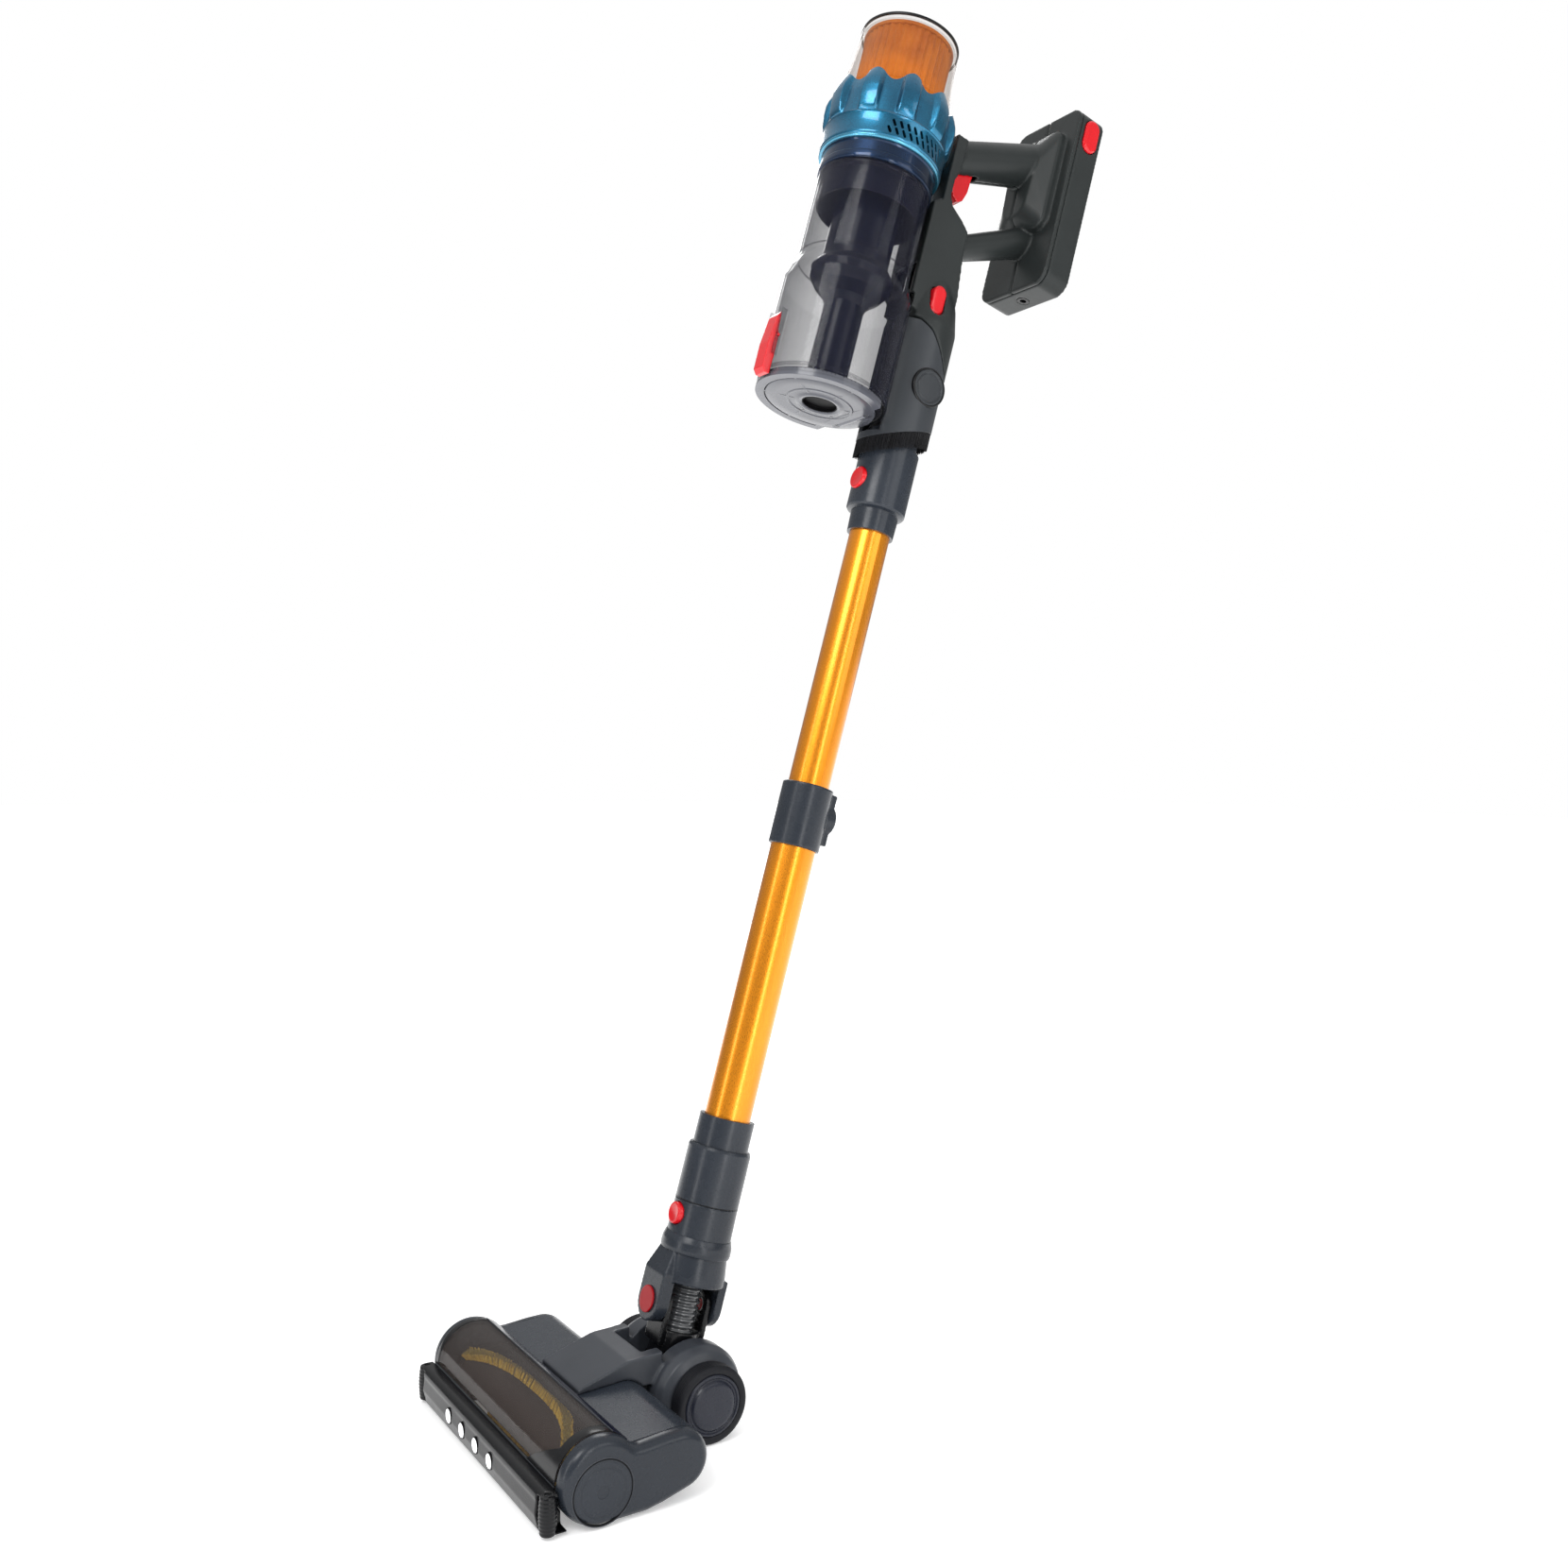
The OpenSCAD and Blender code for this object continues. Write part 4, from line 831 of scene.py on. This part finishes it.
def nozzle_disc():
    """Plain round boss with a ring groove on both flanks of the dusting sleeve, and a raised black ring round it
    whose black paints the shade of its outline.
    """
    profile = [(0, 26), (14.2, 26), (14.2, 28.2), (13.6, 28.9), (12.2, 28.9), (11.7, 28.3),
               (10.9, 28.3), (10.4, 28.9), (4, 29.15), (0, 29.2)]
    ring = rounded([(14.2, 26), (15.6, 26), (15.6, 28.4), (14.2, 28.9)], 0.3)
    for side, name in SIDES:
        place = wand_place(0, -3, 741, sideways(side))
        piece(f"nozzle_disc_{name}", lathe("disc", profile, place, 64), DUCT, "dusting_sleeve")
        # A real raised ring, painted black as the shade round the boss.
        piece(f"nozzle_shade_ring_{name}", lathe("ring", ring, place, 64), BLACK, "dusting_sleeve")


def nozzle_bristles():
    """Skirt of stiff black bristles round the slanted mouth of the dusting sleeve."""
    bm = bmesh.new()
    count, mouth_s, slant, hidden, flare = 150, 702.7, 0.408, 4, 1.01
    for lane, r in enumerate((26.6, 27.6)):
        for i in range(count):
            a = 2 * math.pi * (i + 0.5 * lane) / count
            x, forward = r * math.sin(a), r * math.cos(a)
            root_s = mouth_s - forward * slant
            spread = random.uniform(-0.25, 0.25)
            tip_s = root_s - random.uniform(12.4, 14.2)
            tip = on_wand(x * flare + spread, forward * flare + spread, tip_s)
            tuft(bm, on_wand(x, forward, root_s + hidden), tip, 0.62 * MM)
    piece("nozzle_bristle_skirt", mesh_from(bm, "skirt"), BLACK_BRISTLE, "dusting_bristles",
          replaced=["dusting_bristles"], sharp=30)


def seam_ring(name, r, s, material, node):
    """Fine shadow line round a joint between two round wand parts."""
    inner, outer, low, high = r - 0.35, r + 0.12, s - 0.35, s + 0.35
    outline = [(inner, low), (outer, low), (outer, high), (inner, high)]
    piece(name, lathe(name, outline, WAND), material, node)


# ---------- build ----------

for side, name in SIDES:
    end_cap(side, name)
release_disc()
brush_roll()
window_trim()
lamps()
corner_rollers()
wheels()
corrugated_hose()
yoke_flare()
crown()
bin_details()
filter_top()
nozzle_disc()
nozzle_bristles()
front_button("neck_button_face", "neck_button", 84, 26.2, 8)
front_button("wand_button_face", "wand_button", 660, 24.9, 9)
seam_ring("seam_neck", 23.8, 95, BLACK, "lower_connector")

# CAD solids whose edges and joints are melted together: voxel in millimetres, smoothing rounds
for node, voxel, rounds, material in (
        ("neck_housing", 0.9, 6, SLATE_LIGHT), ("neck_yoke", 0.8, 5, SLATE),
        ("neck_elbow", 0.9, 3, BLACK), ("body_shell_left", 1.0, 7, CHARCOAL),
        ("body_shell_right", 1.0, 7, CHARCOAL), ("battery_case", 0.9, 3, CHARCOAL),
        ("wand_collar", 0.8, 4, SLATE), ("front_bumper", 0.7, 4, BLACK),
        ("bin_release_button", 0.35, 5, RED), ("trigger", 0.5, 6, RED), ("bin_latch", 0.4, 5, RED),
        ("battery_button_left", 0.45, 5, RED), ("battery_button_right", 0.45, 5, RED),
        ("wand_lock_button", 0.4, 4, BLACK), ("swivel_pivots", 0.35, 3, DULL_RED)):
    softened(node, voxel, rounds, material)

# Every CAD node has a finish, also the ones that a piece replaces.
FINISH = {
    SLATE: ("head_base", "head_cover", "end_cap_left", "end_cap_right", "brush_release_cap",
            "neck_yoke", "lower_connector", "upper_connector", "wand_collar"),
    SLATE_LIGHT: ("neck_housing",),
    CHARCOAL: ("body_shell_left", "body_shell_right", "battery_case"),
    DUCT: ("dusting_sleeve",),
    BLACK: ("front_bumper", "corner_roller_left", "corner_roller_right", "brush_pulley",
            "drive_belt", "neck_elbow", "dusting_bristles", "wand_lock_button", "inlet_duct",
            "charging_socket"),
    GLOSS_NAVY: ("cyclone_shroud", "cyclone_body", "impeller"),
    RED: ("neck_button", "wand_button", "bin_release_button", "bin_latch", "trigger",
          "battery_button_left", "battery_button_right"),
    DULL_RED: ("swivel_pivots",),
    TYRE: ("tyre_left", "tyre_right"),
    HUB: ("wheel_left", "wheel_right"),
    HOSE: ("neck_hose",),
    LID: ("bin_lid",),
    BOARD: ("control_board",),
    CELL: ("battery_cells",),
    ROLL: ("brush_core",),
    GOLD: ("lower_tube", "upper_tube"),
    TEAL: ("crown",),
    RING_BLUE: ("motor_housing",),
    SMOKE: ("bin",),
    SMOKE_TOP: ("brush_window",),
    CLEAR: ("filter_sleeve",),
    STEEL: ("brush_bearings", "brush_motor", "motor_pulley", "wheel_axles", "main_motor",
            "lid_hinge_pin"),
    LAMP: ("lamp_lenses",),
    BRISTLE: ("brush_bristles",),
    PAPER: ("filter_cartridge",),
}
for material, names in FINISH.items():
    for name in names:
        NODES[name].data.materials.clear()
        NODES[name].data.materials.append(material)

# ---------- stage, light and camera ----------

AMBIENT = (0.22, 1.0)      # studio light level with the object, and from overhead
BACKDROP = 1.0             # brightness of the plain backdrop behind the object
FLOOR_GLOW = (0.30, 1.0)   # own light of the pale floor, under the object and away from it
MIDDLE = (CAD_LO + CAD_HI) / 2
YAW, PITCH, ROLL_ANGLE = 1.00465, 0.014687, 0.012395   # the photo's view, in radians
CAMERA_PLACE = Vector((0.9394, -0.4220 + HEAD_Y, 0.4785))
FOCAL_SHARE = 1546.07 / 1660   # focal length over the picture's width
SENSOR = 36                # millimetres


def stage():
    """Plain pale floor, flat and so wide that no edge of it shows."""
    s = Shader("stage_white")
    s.link(s.tones(s.noise(3, 2), (0.93, 0.93, 0.93), (0.95, 0.95, 0.95)), s.bsdf.inputs["Base Color"])
    s.link(s.remap(s.noise(40, 2), 0.75, 0.85), s.bsdf.inputs["Roughness"])
    away = s.add("ShaderNodeVectorMath", operation="LENGTH")
    s.link(s.coords, away.inputs[0])
    s.link(s.remap(away.outputs["Value"], *FLOOR_GLOW, 0.35, 1.1), s.bsdf.inputs["Emission Strength"])
    s.set(Emission_Color=(1, 1, 1, 1))
    bm = bmesh.new()
    half, below = 14.0, -0.0005
    for x, y in ((-half, -half), (half, -half), (half, half), (-half, half)):
        bm.verts.new((x, y, below))
    bm.faces.new(bm.verts)
    mesh = mesh_from(bm, "floor")
    mesh.materials.append(s.mat)
    floor = bpy.data.objects.new("floor", mesh)
    bpy.context.scene.collection.objects.link(floor)


def area_light(name, place, target, size, power, height=None):
    """A rectangular lamp aimed at a point."""
    data = bpy.data.lights.new(name, "AREA")
    data.shape, data.size, data.size_y, data.energy = "RECTANGLE", size, height or size, power
    obj = bpy.data.objects.new(name, data)
    obj.location = place
    obj.rotation_euler = (Vector(target) - Vector(place)).to_track_quat("-Z", "Y").to_euler()
    bpy.context.scene.collection.objects.link(obj)


def studio_world():
    """Light from all round, dimmer level with the object than overhead, and a plain backdrop."""
    world = bpy.data.worlds.new("studio")
    bpy.context.scene.world = world
    world.use_nodes = True
    tree = world.node_tree
    sky = tree.nodes["Background"]
    sky.inputs["Color"].default_value = (1, 1, 1, 1)
    seen = tree.nodes.new("ShaderNodeLightPath")
    way = tree.nodes.new("ShaderNodeTexCoord")
    parts = tree.nodes.new("ShaderNodeSeparateXYZ")
    height = tree.nodes.new("ShaderNodeMapRange")
    level = tree.nodes.new("ShaderNodeMapRange")
    height.inputs["From Min"].default_value, height.inputs["From Max"].default_value = 0.05, 0.9
    height.inputs["To Min"].default_value, height.inputs["To Max"].default_value = AMBIENT
    level.inputs["To Max"].default_value = BACKDROP
    tree.links.new(way.outputs["Generated"], parts.inputs["Vector"])
    tree.links.new(parts.outputs["Z"], height.inputs["Value"])
    tree.links.new(seen.outputs["Is Camera Ray"], level.inputs["Value"])
    tree.links.new(height.outputs["Result"], level.inputs["To Min"])
    tree.links.new(level.outputs["Result"], sky.inputs["Strength"])


def lights():
    """Key, fill and rim lights, and two tall strips that run down the round parts as highlights."""
    area_light("key", (0.9, -1.6, 2.0), MIDDLE, 1.0, 26)
    area_light("fill", (2.2, 0.9, 1.3), MIDDLE, 1.2, 10)
    area_light("rim", (-1.6, 0.9, 1.9), MIDDLE, 0.9, 14)
    toward_camera = Vector((CAMERA_PLACE.x, CAMERA_PLACE.y - MIDDLE.y, 0)).normalized()
    away, tall = 1.7, 1.7
    for name, turn, width, power in (("strip_right", 27, 0.26, 9), ("strip_left", -52, 0.2, 6)):
        place = MIDDLE + Matrix.Rotation(math.radians(turn), 3, "Z") @ toward_camera * away
        area_light(name, place, MIDDLE, width, power, height=tall)


def photo_camera():
    """A camera at the photo's viewing angle."""
    level = math.cos(PITCH)
    back = Vector((math.sin(YAW) * level, -math.cos(YAW) * level, math.sin(PITCH)))
    right = Vector((math.cos(YAW), math.sin(YAW), 0))
    up = back.cross(right)
    right_rolled = right * math.cos(ROLL_ANGLE) + up * math.sin(ROLL_ANGLE)
    up_rolled = up * math.cos(ROLL_ANGLE) - right * math.sin(ROLL_ANGLE)
    data = bpy.data.cameras.new("camera")
    data.sensor_width = SENSOR
    data.lens = SENSOR * FOCAL_SHARE
    data.clip_start, data.clip_end = 0.02, 60
    camera = bpy.data.objects.new("camera", data)
    camera.matrix_world = Matrix((right_rolled, up_rolled, back)).transposed().to_4x4()
    camera.location = CAMERA_PLACE
    bpy.context.scene.collection.objects.link(camera)
    bpy.context.scene.camera = camera


stage()
studio_world()
lights()
photo_camera()
bpy.context.scene.view_settings.view_transform = "Standard"
bpy.context.scene.view_settings.exposure = 0.0
